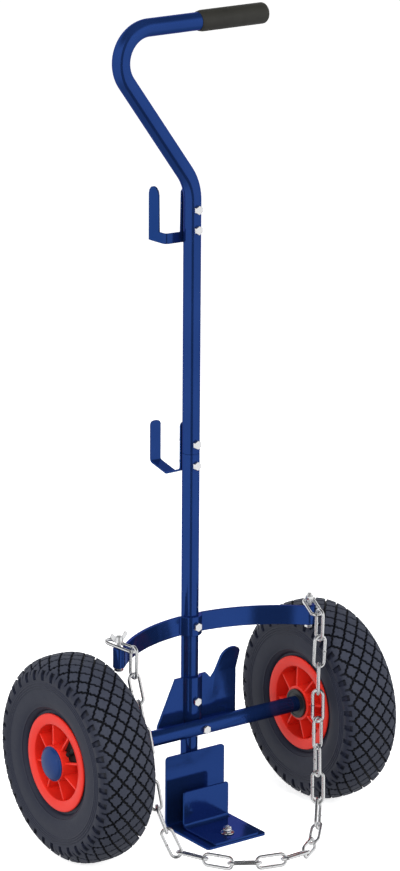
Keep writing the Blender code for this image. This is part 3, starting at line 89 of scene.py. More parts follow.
class Network:
    """A shader's node tree, whose nodes are all added by one method."""

    def __init__(self, tree):
        self.tree = tree

    def set(self, socket, value):
        if isinstance(value, Shade):
            self.tree.links.new(value.socket, socket)
        else:
            socket.default_value = value

    def node(self, kind, settings=None, sockets=None, output=0):
        """Add a node: its settings first, then the values or links of its sockets."""
        made = self.tree.nodes.new(kind)
        for name, value in (settings or {}).items():
            setattr(made, name, value)
        for name, value in (sockets or {}).items():
            self.set(made.inputs[name], value)
        return Shade(self, made.outputs[output])

    def range(self, value, low, high, floor=0.0):
        """Rise smoothly from a floor to 1 while a value runs from low to high."""
        sockets = {"Value": value, "From Min": low, "From Max": high, "To Min": floor}
        return self.node("ShaderNodeMapRange", {"interpolation_type": "SMOOTHSTEP"}, sockets)


class Finish(Network):
    """A procedural material on one Principled shader, patterned in object coordinates."""

    def __init__(self, name):
        self.material = bpy.data.materials.new(name)
        self.material.use_nodes = True
        super().__init__(self.material.node_tree)
        self.shader = self.tree.nodes["Principled BSDF"]
        self.place = self.node("ShaderNodeTexCoord", output="Object")

    def noise(self, scale, detail=3.0, stretch=(1, 1, 1)):
        """Cloudy pattern from 0 to 1 with a number of lumps to the metre."""
        place = self.node("ShaderNodeMapping", None, {"Vector": self.place, "Scale": stretch})
        return self.node("ShaderNodeTexNoise", None, {"Vector": place, "Scale": scale, "Detail": detail})

    def blend(self, factor, first, second):
        return self.node("ShaderNodeMix", {"data_type": "RGBA"}, {0: factor, 6: first, 7: second}, 2)

    def bump(self, height, depth):
        return self.node("ShaderNodeBump", None, {"Height": height, "Distance": depth, "Strength": 1.0})

    def surface(self, **sockets):
        for name, value in sockets.items():
            self.set(self.shader.inputs[name.replace("_", " ")], value)
        return self


def box(node):
    """Low and high corner of a CAD node in millimetres."""
    low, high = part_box(node)
    return Vector(low) / MM, Vector(high) / MM


def middle(node):
    low, high = box(node)
    return (low + high) / 2


def turned(shape, outline, centre, axis, steps=TUBE_SIDES, closed=True):
    """Turn an outline of places along an axis and radii full circle about that axis."""
    axis = Vector(axis).normalized()
    side = axis.orthogonal().normalized()
    corners = [shape.verts.new(Vector(centre) + axis * along + side * radius) for along, radius in outline]
    pairs = list(zip(corners, corners[1:]))
    if closed:
        pairs.append((corners[-1], corners[0]))
    edges = [shape.edges.new(pair) for pair in pairs]
    spun = {"cent": Vector(centre), "axis": axis, "angle": math.tau, "steps": steps, "use_merge": True}
    bmesh.ops.spin(shape, geom=corners + edges, **spun)
    bmesh.ops.remove_doubles(shape, verts=shape.verts, dist=0.001)


def soften(shape, width, segments=2, above=30, where=None):
    """Round the edges that are sharper than an angle."""
    limit = math.radians(above)
    edges = [edge for edge in shape.edges if len(edge.link_faces) == 2 and edge.calc_face_angle() > limit]
    if where:
        edges = [edge for edge in edges if where((edge.verts[0].co + edge.verts[1].co) / 2)]
    size = {"offset": width, "segments": segments, "profile": 0.5, "clamp_overlap": True}
    bmesh.ops.bevel(shape, geom=edges, affect="EDGES", material=-1, **size)


def add_piece(name, shape, finish, body, nodes, sharp=35):
    """Make the finished piece of a shape in millimetres; it rides on a body in place of CAD nodes."""
    bmesh.ops.remove_doubles(shape, verts=shape.verts, dist=0.001)
    bmesh.ops.recalc_face_normals(shape, faces=shape.faces)
    bmesh.ops.scale(shape, vec=(MM, MM, MM), verts=shape.verts)
    mesh = bpy.data.meshes.new(name)
    shape.to_mesh(mesh)
    shape.free()
    mesh.shade_smooth()
    mesh.set_sharp_from_angle(angle=math.radians(sharp))
    mesh.materials.append(finish.material)
    piece = bpy.data.objects.new(name, mesh)
    bpy.context.scene.collection.objects.link(piece)
    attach(piece, body)
    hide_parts(*nodes)
    return piece


paint = Finish("blue_paint")
paint.surface(
    Base_Color=paint.blend(paint.noise(14), (0.016, 0.048, 0.2, 1), (0.022, 0.06, 0.245, 1)),
    Metallic=0.7 + 0.1 * paint.noise(25),
    Roughness=0.08 + 0.06 * paint.noise(60),
    Specular_IOR_Level=0.3,
    Specular_Tint=(0.14, 0.32, 0.6, 1),
    Normal=paint.bump(paint.noise(420, 1), 0.00003),
)

low, high = box("post_tube")
post_place = Vector((0, (low.y + high.y) / 2, 0))
shape = bmesh.new()
inner = TUBE_RADIUS - TUBE_WALL
ends = [(low.z, inner), (low.z, TUBE_RADIUS), (high.z, TUBE_RADIUS), (high.z, inner)]
turned(shape, ends, post_place, UP)
soften(shape, TUBE_EDGE)
add_piece("post", shape, paint, "frame", ["post_tube"])

# Handle
# The upper tube, bent cold in two places and swaged at its foot so that it plugs into the post. It has
# the same coat of paint, and the seam where it meets the post stays open.

CRANK_HEIGHT = 820.0
CRANK_RADIUS = 60.0
CRANK_SLANT = math.radians(53.5)
TOP_HEIGHT = 1016.7
TOP_RADIUS = 40.0
TOP_RISE = math.radians(1.5)
TOP_REACH = 103.0
SPIGOT_LENGTH = 40.0
SPIGOT_RADIUS = TUBE_RADIUS - 1.3
BEND_STEPS = 24


class TubeRun:
    """The skin of a rod or tube, drawn from a ring of edges by straight lengths and bends in turn."""

    def __init__(self, shape, centre, aim, radius, sides):
        self.shape = shape
        self.centre = Vector(centre)
        self.aim = Vector(aim).normalized()
        place = Matrix.Translation(self.centre) @ self.aim.to_track_quat("Z", "Y").to_matrix().to_4x4()
        size = {"segments": sides, "radius": radius, "cap_ends": True, "matrix": place}
        made = bmesh.ops.create_circle(shape, **size)["verts"]
        self.ring = list(dict.fromkeys(edge for vert in made for edge in vert.link_edges))

    def verts(self):
        return list(dict.fromkeys(vert for edge in self.ring for vert in edge.verts))

    def extend(self):
        """Draw a new ring from the last, which the next move carries off."""
        made = bmesh.ops.extrude_edge_only(self.shape, edges=self.ring)["geom"]
        self.ring = [item for item in made if isinstance(item, bmesh.types.BMEdge) and item.is_boundary]

    def straight(self, length):
        self.extend()
        bmesh.ops.translate(self.shape, verts=self.verts(), vec=self.aim * length)
        self.centre += self.aim * length

    def flare(self, ratio):
        self.extend()
        hold = Matrix.Translation(-self.centre)
        bmesh.ops.scale(self.shape, verts=self.verts(), vec=(ratio, ratio, ratio), space=hold)

    def bend(self, axis, angle, radius, steps):
        pivot = self.centre - self.aim.cross(axis) * radius
        turn = {"cent": pivot, "axis": axis, "angle": angle, "steps": steps}
        made = bmesh.ops.spin(self.shape, geom=self.verts() + self.ring, **turn)["geom_last"]
        self.ring = [item for item in made if isinstance(item, bmesh.types.BMEdge)]
        swing = Matrix.Rotation(angle, 3, axis)
        self.centre = pivot + swing @ (self.centre - pivot)
        self.aim = swing @ self.aim

    def through(self, corners, radii, steps):
        """Run past each corner on a bend of its radius and end at the last corner."""
        for corner, after, radius in zip(corners, corners[1:], radii):
            leave = (after - corner).normalized()
            angle = self.aim.angle(leave)
            reach = (corner - self.centre).length - radius * math.tan(angle / 2)
            self.straight(reach)
            self.bend(self.aim.cross(leave).normalized(), angle, radius, steps)
        self.straight((corners[-1] - self.centre).length)

    def close(self):
        bmesh.ops.contextual_create(self.shape, geom=self.ring)


low, high = box("handle_tube")
joint = Vector((0, post_place.y, low.z + SPIGOT_LENGTH))
rise = math.tan(TOP_RISE)
corner_x = -(TOP_HEIGHT - CRANK_HEIGHT) / (math.tan(CRANK_SLANT) + rise)
handle_end = Vector((TOP_REACH, post_place.y, TOP_HEIGHT + TOP_REACH * rise))
corners = [
    Vector((0, post_place.y, CRANK_HEIGHT)),
    Vector((corner_x, post_place.y, TOP_HEIGHT + corner_x * rise)),
    handle_end,
]
shape = bmesh.new()
run = TubeRun(shape, joint - UP * SPIGOT_LENGTH, UP, SPIGOT_RADIUS, TUBE_SIDES)
run.straight(SPIGOT_LENGTH)
run.flare((TUBE_RADIUS - TUBE_EDGE) / SPIGOT_RADIUS)
run.straight(TUBE_EDGE)
run.flare(TUBE_RADIUS / (TUBE_RADIUS - TUBE_EDGE))
run.through(corners, (CRANK_RADIUS, TOP_RADIUS), BEND_STEPS)
run.close()
add_piece("handle", shape, paint, "frame", ["handle_tube"])

# Hand grip
# A dipped sleeve of soft charcoal vinyl with a closed round end, pushed over the free end of the
# handle. Its skin is matt and finely grained.

GRIP_RADIUS = 13.0
GRIP_LENGTH = 100.0
GRIP_END = 3.3
GRIP_END_RADIUS = 5.5
GRIP_END_FLAT = 4.2
GRIP_TAPER = 5.0
GRIP_TUCK = 0.2
GRIP_LIP = 0.6

grip = Finish("grip")
grip.surface(
    Base_Color=grip.blend(grip.noise(35), (0.011, 0.0108, 0.0088, 1), (0.019, 0.0185, 0.0152, 1)),
    Roughness=0.5 + 0.2 * grip.noise(120),
    Normal=grip.bump(grip.noise(900, 2), 0.00012),
)


def arc(centre, radius, start, end, steps):
    """Points of an arc in (along, radius), its angles in degrees from the direction along."""
    turns = [math.radians(start + (end - start) * k / steps) for k in range(steps + 1)]
    return [(centre[0] + radius * math.cos(turn), centre[1] + radius * math.sin(turn)) for turn in turns]


aim = Vector((math.cos(TOP_RISE), 0, math.sin(TOP_RISE)))
mouth = GRIP_END - GRIP_LENGTH
fit = TUBE_RADIUS - GRIP_TUCK
outline = [(mouth + 1, fit), (mouth, TUBE_RADIUS)]
outline += arc((mouth + GRIP_LIP, fit + GRIP_LIP), GRIP_LIP, 180, 110, 4)
outline += [(mouth + GRIP_TAPER, GRIP_RADIUS)]
outline += arc((GRIP_END - GRIP_END_RADIUS, GRIP_RADIUS - GRIP_END_RADIUS), GRIP_END_RADIUS, 90, 10, 8)
outline += [(GRIP_END, GRIP_END_FLAT), (GRIP_END, 0)]
shape = bmesh.new()
turned(shape, outline, handle_end, aim, closed=False)
add_piece("hand_grip_sleeve", shape, grip, "frame", ["hand_grip"])

# Hooks, cradle band, bracket and foot
# Plates cut and pressed from mild steel: two hooks for the hose, the band round the cylinder with
# rolled eyes, the bracket of the axle, and the folded foot with its sliding stop. Their edges are
# barrel-tumbled before the paint, so they catch a thin line of light.

PLATE_EDGES = {
    "upper_hook": 0.5,
    "lower_hook": 0.5,
    "cradle_band": 0.8,
    "axle_bracket": 0.8,
    "foot_plate": 0.8,
    "stop_plate": 0.8,
}


def cad_shape(node):
    """A copy of a CAD node's shape in millimetres, its triangles merged back to flat faces."""
    shape = bmesh.new()
    shape.from_mesh(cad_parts[node].data)
    bmesh.ops.scale(shape, vec=(1 / MM, 1 / MM, 1 / MM), verts=shape.verts)
    bmesh.ops.remove_doubles(shape, verts=shape.verts, dist=0.002)
    flat = {"angle_limit": math.radians(0.6), "verts": shape.verts, "edges": shape.edges}
    bmesh.ops.dissolve_limit(shape, **flat)
    return shape


for node, edge in PLATE_EDGES.items():
    shape = cad_shape(node)
    soften(shape, edge, 3, 50)
    body = "stop" if node == "stop_plate" else "frame"
    pressing = add_piece(node + "_pressing", shape, paint, body, [node], 40)
    pressing.modifiers.new("even_normals", "WEIGHTED_NORMAL").keep_sharp = True

# Weld of the foot
# Two fillet runs down the line where the post meets the back of the foot plate, laid by hand in short
# overlapping ripples and painted over.

WELD_RADIUS = 2.3
WELD_STEP = 2.1
WELD_LENGTH = 58.0
WELD_START = 5.0
WELD_SPREAD = 5.0
WELD_BACK = 1.3
WELD_SWAY = 0.35
WELD_RIPPLE = (1.15, 0.9, 0.75, 1)

foot_top = box("foot_plate")[1]
shape = bmesh.new()
ripples = int(WELD_LENGTH / WELD_STEP)
for side in (-1, 1):
    for k in range(ripples):
        spread = WELD_SPREAD + WELD_SWAY * math.sin(k * 2.4 + side)
        place = Vector((side * spread, foot_top.y + WELD_BACK, foot_top.z - WELD_START - WELD_STEP * k))
        form = Matrix.Translation(place) @ Matrix.Diagonal(WELD_RIPPLE)
        size = {"u_segments": 14, "v_segments": 8, "radius": WELD_RADIUS + 0.2 * math.sin(k * 1.7)}
        bmesh.ops.create_uvsphere(shape, matrix=form, **size)
add_piece("foot_weld", shape, paint, "frame", [], 60)

# Bolts through the post
# Hexagon bolts M6 with lock nuts, bright zinc plated: two in each hook, and one each in the band, the
# bracket and the axle. Heads are in front, nuts behind with a turn of thread showing.

HEX = 10.0 / math.sqrt(3)
HEX_CHAMFER = 0.45
HEX_EDGE = 0.15
HEAD_HEIGHT = 4.0
NUT_HEIGHT = 5.0
COLLAR_START = 3.4
COLLAR_END = 4.25
COLLAR_RADIUS = 4.5
COLLAR_ROLL = 0.75
THREAD_RADIUS = 3.0
THREAD_PITCH = 1.0
THREAD_DEPTH = 0.45
THREAD_CHAMFER = 0.6

zinc = Finish("zinc")
zinc.surface(
    Base_Color=zinc.blend(zinc.noise(160, 4), (0.86, 0.87, 0.89, 1), (0.96, 0.96, 0.96, 1)),
    Metallic=1.0,
    Roughness=0.18 + 0.12 * zinc.noise(300, 4),
    Normal=zinc.bump(zinc.noise(900, 1), 0.00001),
)


def hexagon(shape, place, aim, height, turn=0.0):
    """A hexagon with its outer corners chamfered, standing on a place."""
    stand = Vector(aim).to_track_quat("Z", "Y").to_matrix().to_4x4() @ Matrix.Rotation(turn, 4, "Z")
    body = Matrix.Translation(Vector(place) + Vector(aim) * height / 2) @ stand
    part = bmesh.new()
    size = {"segments": 6, "radius1": HEX, "radius2": HEX, "depth": height, "cap_ends": True}
    bmesh.ops.create_cone(part, matrix=body, **size)
    crown = (Vector(place) + Vector(aim) * height).dot(aim)
    soften(part, HEX_CHAMFER, 1, 30, lambda point: point.dot(aim) > crown - 0.01)
    soften(part, HEX_EDGE, 2, 50)
    join(shape, part)


def join(shape, part):
    """Add a finished part to a shape."""
    mesh = bpy.data.meshes.new("part")
    part.to_mesh(mesh)
    part.free()
    shape.from_mesh(mesh)
    bpy.data.meshes.remove(mesh)


def thread(shape, place, aim, length):
    """A screwed end, its ridges turned as rings, closed by a chamfered tip."""
    outline = [(0, 0)]
    for k in range(int(length / THREAD_PITCH)):
        outline.append((k * THREAD_PITCH, THREAD_RADIUS - THREAD_DEPTH))
        outline.append(((k + 0.5) * THREAD_PITCH, THREAD_RADIUS))
    outline += [(length, THREAD_RADIUS - THREAD_CHAMFER), (length, 0)]
    part = bmesh.new()
    turned(part, outline, place, aim, 28, closed=False)
    join(shape, part)


def lock_nut(shape, place, aim):
    """A hexagon with the rolled collar that holds the nylon ring."""
    hexagon(shape, place, aim, COLLAR_START)
    collar = [(0, THREAD_RADIUS), (COLLAR_START, COLLAR_RADIUS + 0.1), (COLLAR_END, COLLAR_RADIUS)]
    collar += arc((COLLAR_END, COLLAR_RADIUS - COLLAR_ROLL), COLLAR_ROLL, 90, 0, 4)
    collar.append((COLLAR_END, THREAD_RADIUS - 0.5))
    part = bmesh.new()
    turned(part, collar, place, aim, 32)
    join(shape, part)


def shank(shape, place, aim, length, steps):
    """The plain part of a screw."""
    part = bmesh.new()
    turned(part, [(0, 0), (0, THREAD_RADIUS), (length, THREAD_RADIUS), (length, 0)], place, aim, steps)
    join(shape, part)


bolts = ["upper_hook_bolt_top", "upper_hook_bolt_bottom", "lower_hook_bolt_top", "lower_hook_bolt_bottom"]
bolts += ["cradle_bolt", "bracket_bolt", "axle_bolt"]
for node in bolts:
    low, high = box(node)
    centre = (low + high) / 2
    seat = Vector((centre.x, low.y + HEAD_HEIGHT, centre.z))
    nut = Vector((centre.x, high.y - NUT_HEIGHT, centre.z))
    shape = bmesh.new()
    hexagon(shape, seat, -BACK, HEAD_HEIGHT)
    lock_nut(shape, nut, BACK)
    thread(shape, nut, BACK, 0.9 * NUT_HEIGHT)
    shank(shape, seat, BACK, nut.y - seat.y, 24)
    add_piece(node + "_screw", shape, zinc, "frame", [node])

# Clamp of the stop
# A countersunk screw through the foot and the slot of the stop plate, with a flange nut on top that
# is slackened to slide the plate.

SKIRT_EDGE = 0.5
SKIRT_HEIGHT = 1.7
SKIRT_OVERLAP = 0.3
STOP_HEAD_RIM = 0.3
STOP_HEAD_HEIGHT = 2.2
STOP_SHANK = THREAD_RADIUS - 0.2
STOP_THREAD = 4.0
STOP_THREAD_SINK = 2.0

low, high = box("stop_nut")
centre = middle("stop_nut")
flange = (high.x - low.x) / 2
foot_of_nut = Vector((centre.x, centre.y, low.z))
shape = bmesh.new()
skirt = [(0, THREAD_RADIUS), (0, flange)] + arc((SKIRT_EDGE, flange - SKIRT_EDGE), SKIRT_EDGE, 0, 90, 3)
skirt += [(SKIRT_HEIGHT, HEX - 0.2), (SKIRT_HEIGHT, THREAD_RADIUS)]
part = bmesh.new()
turned(part, skirt, foot_of_nut, UP, 40)
join(shape, part)
hex_start = SKIRT_HEIGHT - SKIRT_OVERLAP
hexagon(shape, foot_of_nut + UP * hex_start, UP, high.z - low.z - hex_start, turn=0.4)
add_piece("stop_flange_nut", shape, zinc, "frame", ["stop_nut"])

low, high = box("stop_bolt")
shape = bmesh.new()
head = (high.x - low.x) / 2
root = box("stop_nut")[1].z - STOP_THREAD_SINK
length = root - low.z
outline = [(0, 0), (0, head - STOP_HEAD_RIM), (STOP_HEAD_RIM, head)]
outline += [(STOP_HEAD_HEIGHT, STOP_SHANK), (length, STOP_SHANK), (length, 0)]
turned(shape, outline, Vector((centre.x, centre.y, low.z)), UP, 32, closed=False)
thread(shape, Vector((centre.x, centre.y, root)), UP, STOP_THREAD)
add_piece("stop_screw", shape, zinc, "frame", ["stop_bolt"])

# Bolts of the chain
# Two upright screws in the rolled eyes of the band. The right one holds its end link with a hexagon
# nut, the left one with a cast wing nut that comes off by hand.

WING_EDGE = 0.7

for side in ("left", "right"):
    node = side + "_chain_bolt"
    low, high = box(node)
    centre = middle(node)
    foot = Vector((centre.x, centre.y, low.z + HEAD_HEIGHT))
    shape = bmesh.new()
    hexagon(shape, foot, -UP, HEAD_HEIGHT)
    plain = box("cradle_band")[1].z - foot.z
    shank(shape, foot, UP, plain, 32)
    thread(shape, foot + UP * plain, UP, high.z - foot.z - plain)
    add_piece(side + "_chain_screw", shape, zinc, "frame", [node])

low, high = box("right_chain_nut")
centre = middle("right_chain_nut")
shape = bmesh.new()
hexagon(shape, Vector((centre.x, centre.y, low.z)), UP, high.z - low.z, turn=0.3)
add_piece("right_chain_hexagon", shape, zinc, "frame", ["right_chain_nut"])

shape = cad_shape("wing_nut")
soften(shape, WING_EDGE, 3, 40)
add_piece("wing_nut_casting", shape, zinc, "wing_nut", ["wing_nut"], 45)

# Axle
# One painted steel tube across the front of the bracket, bolted through its middle. The wheels run on
# its ends, each kept on by a push-on clip under the hub cap.

AXLE_RADIUS = 10.0
AXLE_WALL = 2.5
AXLE_EDGE = 0.5

low, high = box("axle_tube")
axle_place = Vector((low.x, (low.y + high.y) / 2, (low.z + high.z) / 2))
shape = bmesh.new()
length = high.x - low.x
bore = AXLE_RADIUS - AXLE_WALL
turned(shape, [(0, bore), (0, AXLE_RADIUS), (length, AXLE_RADIUS), (length, bore)], axle_place, RIGHT)
soften(shape, AXLE_EDGE)
add_piece("axle", shape, paint, "frame", ["axle_tube"])
for side in ("left", "right"):
    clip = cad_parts[side + "_axle_clip"]
    clip.data.materials.clear()
    clip.data.materials.append(zinc.material)

# Tyres
# Black rubber tyres with an all-terrain tread: rows of jagged diamond blocks round the crown, a comb of
# lugs with pockets on each shoulder, and moulded rings on the sidewall. Carcass and tread are one
# moulding. The rubber is painted paler towards the crown, partly as scuffing and partly as painted light
# on the lit block tops, and the grooves are painted near black as painted shade.

TYRE_RADIUS = 130.0
TYRE_HALF = 38.5
TYRE_MIDDLE = 94.0
TYRE_LIP = 61.8
CROWN_POWER = 2.8
WALL_POWER = 4.0
WALL_FOOT = -56
BLOCKS_AROUND = 36
BLOCKS_ACROSS = 4
BLOCK_WIDTH = 19.0
BLOCK_TEETH = 5
BLOCK_JOG = 0.8
GROOVE_DEPTH = 3.0
GROOVE_STEPS = ((1.1, 0.0), (0.35, 2.6), (0.35, 0.4))
CARCASS_SINK = 0.6
LUG_LENGTH = 17.0
LUG_FADE = 8.0
LUG_RISE = 1.6
POCKET_SHARE = 0.5
POCKET_TAPER = 0.85
POCKET_DEPTH = 1.9
POCKET_RIM = 0.7
POCKET_SLOPE = 0.8
POCKET_START = 1.0
RING_HEIGHT = 0.7
RING_WIDTH = 0.75
SHOULDER_RINGS = (1.5, 4.5, 7.5)
LIP_RING = 9.0
BEAD_HALF = 29.2
BEAD_RADIUS = 54.3
SCUFF_AND_LIGHT_START = 0.110
SCUFF_AND_LIGHT_END = 0.124

rubber = Finish("tyre_rubber")
hub_line = [0] + [value * MM for value in middle("left_tyre").yz]
spoke = rubber.node("ShaderNodeVectorMath", {"operation": "SUBTRACT"}, {0: rubber.place, 1: hub_line})
spoke = rubber.node("ShaderNodeVectorMath", {"operation": "MULTIPLY"}, {0: spoke, 1: (0, 1, 1)})
radius = rubber.node("ShaderNodeVectorMath", {"operation": "LENGTH"}, {0: spoke}, "Value")
# Painted light and wear: the rubber turns paler towards the crown, partly as scuffing and partly as
# painted light on the lit block tops.
scuff_and_light = rubber.range(radius, SCUFF_AND_LIGHT_START, SCUFF_AND_LIGHT_END) * (0.6 + 0.4 * rubber.noise(55, 4))
# Painted shade: the colour goes towards near black the deeper a point lies in the grooves.
groove_shade = rubber.node("ShaderNodeAttribute", {"attribute_name": "groove_shade"}, output="Fac")
skin = rubber.blend(scuff_and_light, (0.016, 0.019, 0.034, 1), (0.038, 0.043, 0.062, 1))
rubber.surface(
    Base_Color=rubber.blend(groove_shade, skin, (0.0025, 0.003, 0.005, 1)),
    Roughness=0.46 + 0.12 * scuff_and_light + 0.12 * rubber.noise(140),
    Specular_IOR_Level=0.3,
    Normal=rubber.bump(rubber.noise(1100, 2), 0.00006),
)


class TyreSection:
    """The smooth outer section of a tyre, by its length from the middle of the crown."""

    def __init__(self):
        turns = np.radians(np.linspace(90, WALL_FOOT, 300))
        tall = np.where(turns >= 0, TYRE_RADIUS - TYRE_MIDDLE, TYRE_MIDDLE - TYRE_LIP)
        power = 2 / np.where(turns >= 0, CROWN_POWER, WALL_POWER)
        self.across = TYRE_HALF * np.abs(np.cos(turns)) ** power
        self.radius = TYRE_MIDDLE + tall * np.sign(np.sin(turns)) * np.abs(np.sin(turns)) ** power
        steps = np.hypot(np.diff(self.across), np.diff(self.radius))
        self.length = np.concatenate([[0], np.cumsum(steps)])
        slope = np.gradient(self.across), np.gradient(self.radius)
        size = np.hypot(*slope)
        self.normal = -slope[1] / size, slope[0] / size

    def at(self, along, lift):
        """Place across and radius of a point that stands a lift above the section."""
        side = math.copysign(1, along)
        tables = (self.across, self.radius, *self.normal)
        across, radius, out, rise = [np.interp(abs(along), self.length, table) for table in tables]
        return side * (across + lift * out), radius + lift * rise

    def wrap(self, point):
        """Bend a point of the flat tread round the wheel; its X runs round, Y across, Z out."""
        across, radius = self.at(point.y, point.z)
        turn = point.x / TYRE_RADIUS
        return Vector((across, radius * math.sin(turn), radius * math.cos(turn)))


section = TyreSection()
TREAD_HALF = BLOCKS_ACROSS * BLOCK_WIDTH / 2
SHOULDER_END = TREAD_HALF + LUG_LENGTH


def ring_lift(along):
    """Height of the carcass over the smooth section: sunk under the tread, ringed on the wall."""
    if abs(along) < SHOULDER_END:
        return -GROOVE_DEPTH - CARCASS_SINK
    rings = [SHOULDER_END + offset for offset in SHOULDER_RINGS] + [section.length[-1] - LIP_RING]
    return max(RING_HEIGHT * math.exp(-((abs(along) - ring) / RING_WIDTH) ** 2) for ring in rings)


def tyre_carcass(shape):
    wall = np.arange(SHOULDER_END, section.length[-1], 0.5)
    stations = np.concatenate([np.arange(3, SHOULDER_END - 1, 3), [SHOULDER_END - 0.3], wall])
    half = [section.at(station, ring_lift(station)) for station in stations]
    bead = [(BEAD_HALF, TYRE_LIP), (BEAD_HALF, BEAD_RADIUS)]
    outline = [(-across, radius) for across, radius in reversed(half + bead)] + half + bead
    turned(shape, outline, Vector(), RIGHT, 144)


def face_verts(faces):
    return list(dict.fromkeys(vert for face in faces for vert in face.verts))


def flat_tread(pitch):
    """The tread laid flat, X round the wheel and Y across: a grid poked at its centres with its own
    lines dissolved leaves diamonds, and the half diamonds at its edges are drawn out to lugs."""
    columns = BLOCKS_AROUND + 2
    tread = bmesh.new()
    size = Matrix.Translation((pitch / 2, 0, 0)) @ Matrix.Diagonal((columns * pitch / 2, TREAD_HALF, 1, 1))
    bmesh.ops.create_grid(tread, x_segments=columns, y_segments=BLOCKS_ACROSS, size=1, matrix=size)
    lines = [edge for edge in tread.edges if not edge.is_boundary]
    bmesh.ops.poke(tread, faces=tread.faces)
    bmesh.ops.dissolve_edges(tread, edges=lines, use_verts=False)
    for side in (-1, 1):
        reach = side * TREAD_HALF
        rim = [edge for edge in tread.edges if all(abs(vert.co.y - reach) < 0.01 for vert in edge.verts)]
        drawn = bmesh.ops.extrude_edge_only(tread, edges=rim)["geom"]
        verts = [item for item in drawn if isinstance(item, bmesh.types.BMVert)]
        bmesh.ops.translate(tread, verts=verts, vec=(0, side * LUG_LENGTH, 0))
        bmesh.ops.dissolve_edges(tread, edges=rim, use_verts=False)
    start = -(BLOCKS_AROUND / 2 + 0.25) * pitch
    spare = []
    for face in tread.faces:
        if not start <= face.calc_center_bounds().x < start + BLOCKS_AROUND * pitch:
            spare.append(face)
    bmesh.ops.delete(tread, geom=spare, context="FACES")
    return tread


def cut_across(tread, offsets):
    """Cut the lugs at distances from the edge of the blocks, so that they bend round the shoulder."""
    for offset in offsets:
        for side in (-1, 1):
            plane = {"plane_co": (0, side * (TREAD_HALF + offset), 0), "plane_no": (0, 1, 0)}
            bmesh.ops.bisect_plane(tread, geom=[*tread.verts, *tread.edges, *tread.faces], **plane)


def cut_grooves(tread, pitch):
    """Jog the block edges, shrink each block step by step and raise it, and sink a pocket in each lug."""
    sides = [edge for edge in tread.edges if abs(edge.verts[0].co.y - edge.verts[1].co.y) > 1]
    cut = bmesh.ops.subdivide_edges(tread, edges=sides, cuts=BLOCK_TEETH - 1)["geom_inner"]
    for vert in cut:
        if isinstance(vert, bmesh.types.BMVert) and abs(vert.co.y) < TREAD_HALF - 0.1:
            tooth = round(2 * BLOCK_TEETH * vert.co.x / pitch)
            vert.co.y += BLOCK_JOG * (-1) ** tooth
    blocks = list(tread.faces)
    bmesh.ops.translate(tread, verts=tread.verts, vec=(0, 0, -GROOVE_DEPTH))
    for width, lift in GROOVE_STEPS:
        bmesh.ops.inset_individual(tread, faces=blocks, thickness=width, use_even_offset=True)
        bmesh.ops.translate(tread, verts=face_verts(blocks), vec=(0, 0, lift))
    for vert in tread.verts:
        vert.co.z *= 1 - min(max((abs(vert.co.y) - TREAD_HALF) / LUG_FADE, 0), 1)
    cut_across(tread, [POCKET_START])
    tops = [face for face in tread.faces if face.normal.z > 0.999 and face.calc_area() > 40]
    pockets = [face for face in tops if abs(face.calc_center_bounds().y) > TREAD_HALF + 3]
    bmesh.ops.inset_individual(tread, faces=pockets, thickness=POCKET_RIM, use_even_offset=True)
    for face in pockets:
        hold = Matrix.Translation(-face.calc_center_bounds())
        outer = [vert for vert in face.verts if abs(vert.co.y) > abs(face.calc_center_bounds().y)]
        bmesh.ops.scale(tread, verts=face.verts, vec=(POCKET_SHARE, 1, 1), space=hold)
        bmesh.ops.scale(tread, verts=outer, vec=(POCKET_TAPER, 1, 1), space=hold)
    bmesh.ops.inset_individual(tread, faces=pockets, thickness=POCKET_SLOPE, use_even_offset=True)
    bmesh.ops.translate(tread, verts=face_verts(pockets), vec=(0, 0, -POCKET_DEPTH))
    cut_across(tread, np.arange(3, LUG_LENGTH, 2.5))
    for vert in tread.verts:
        reach = min(max((abs(vert.co.y) - TREAD_HALF) / LUG_LENGTH, 0), 1)
        if vert.co.z > -0.5:
            vert.co.z += LUG_RISE * math.sin(math.pi * reach)
    bmesh.ops.poke(tread, faces=[face for face in tread.faces if len(face.verts) > 5])


def tyre_tread(shape):
    """The tread bent round the carcass, with painted shade by depth in the grooves as an attribute."""
    pitch = math.tau * TYRE_RADIUS / BLOCKS_AROUND
    tread = flat_tread(pitch)
    cut_grooves(tread, pitch)
    groove_shade = tread.verts.layers.float.new("groove_shade")
    for vert in tread.verts:
        if abs(vert.co.y) < TREAD_HALF + LUG_FADE:
            vert[groove_shade] = min(max(-vert.co.z / GROOVE_DEPTH, 0), 1)
        vert.co = section.wrap(vert.co)
    join(shape, tread)


def to_wheel(shape, side):
    """Carry a shape from the wheel's own frame, outside along X, to its place on the cart."""
    sign = -1 if side == "left" else 1
    bmesh.ops.scale(shape, vec=(sign, 1, 1), verts=shape.verts)
    bmesh.ops.translate(shape, vec=middle(side + "_tyre"), verts=shape.verts)


for side in ("left", "right"):
    shape = bmesh.new()
    tyre_carcass(shape)
    tyre_tread(shape)
    to_wheel(shape, side)
    add_piece(side + "_tyre_moulding", shape, rubber, side + "_wheel", [side + "_tyre"], 30)

# Rims
# Injection-moulded coral-red plastic: a barrel between two rolled lips, a thin web stiffened by eight
# ribs on both faces, and a long hub. One field of the web is left open so that the valve is reached.

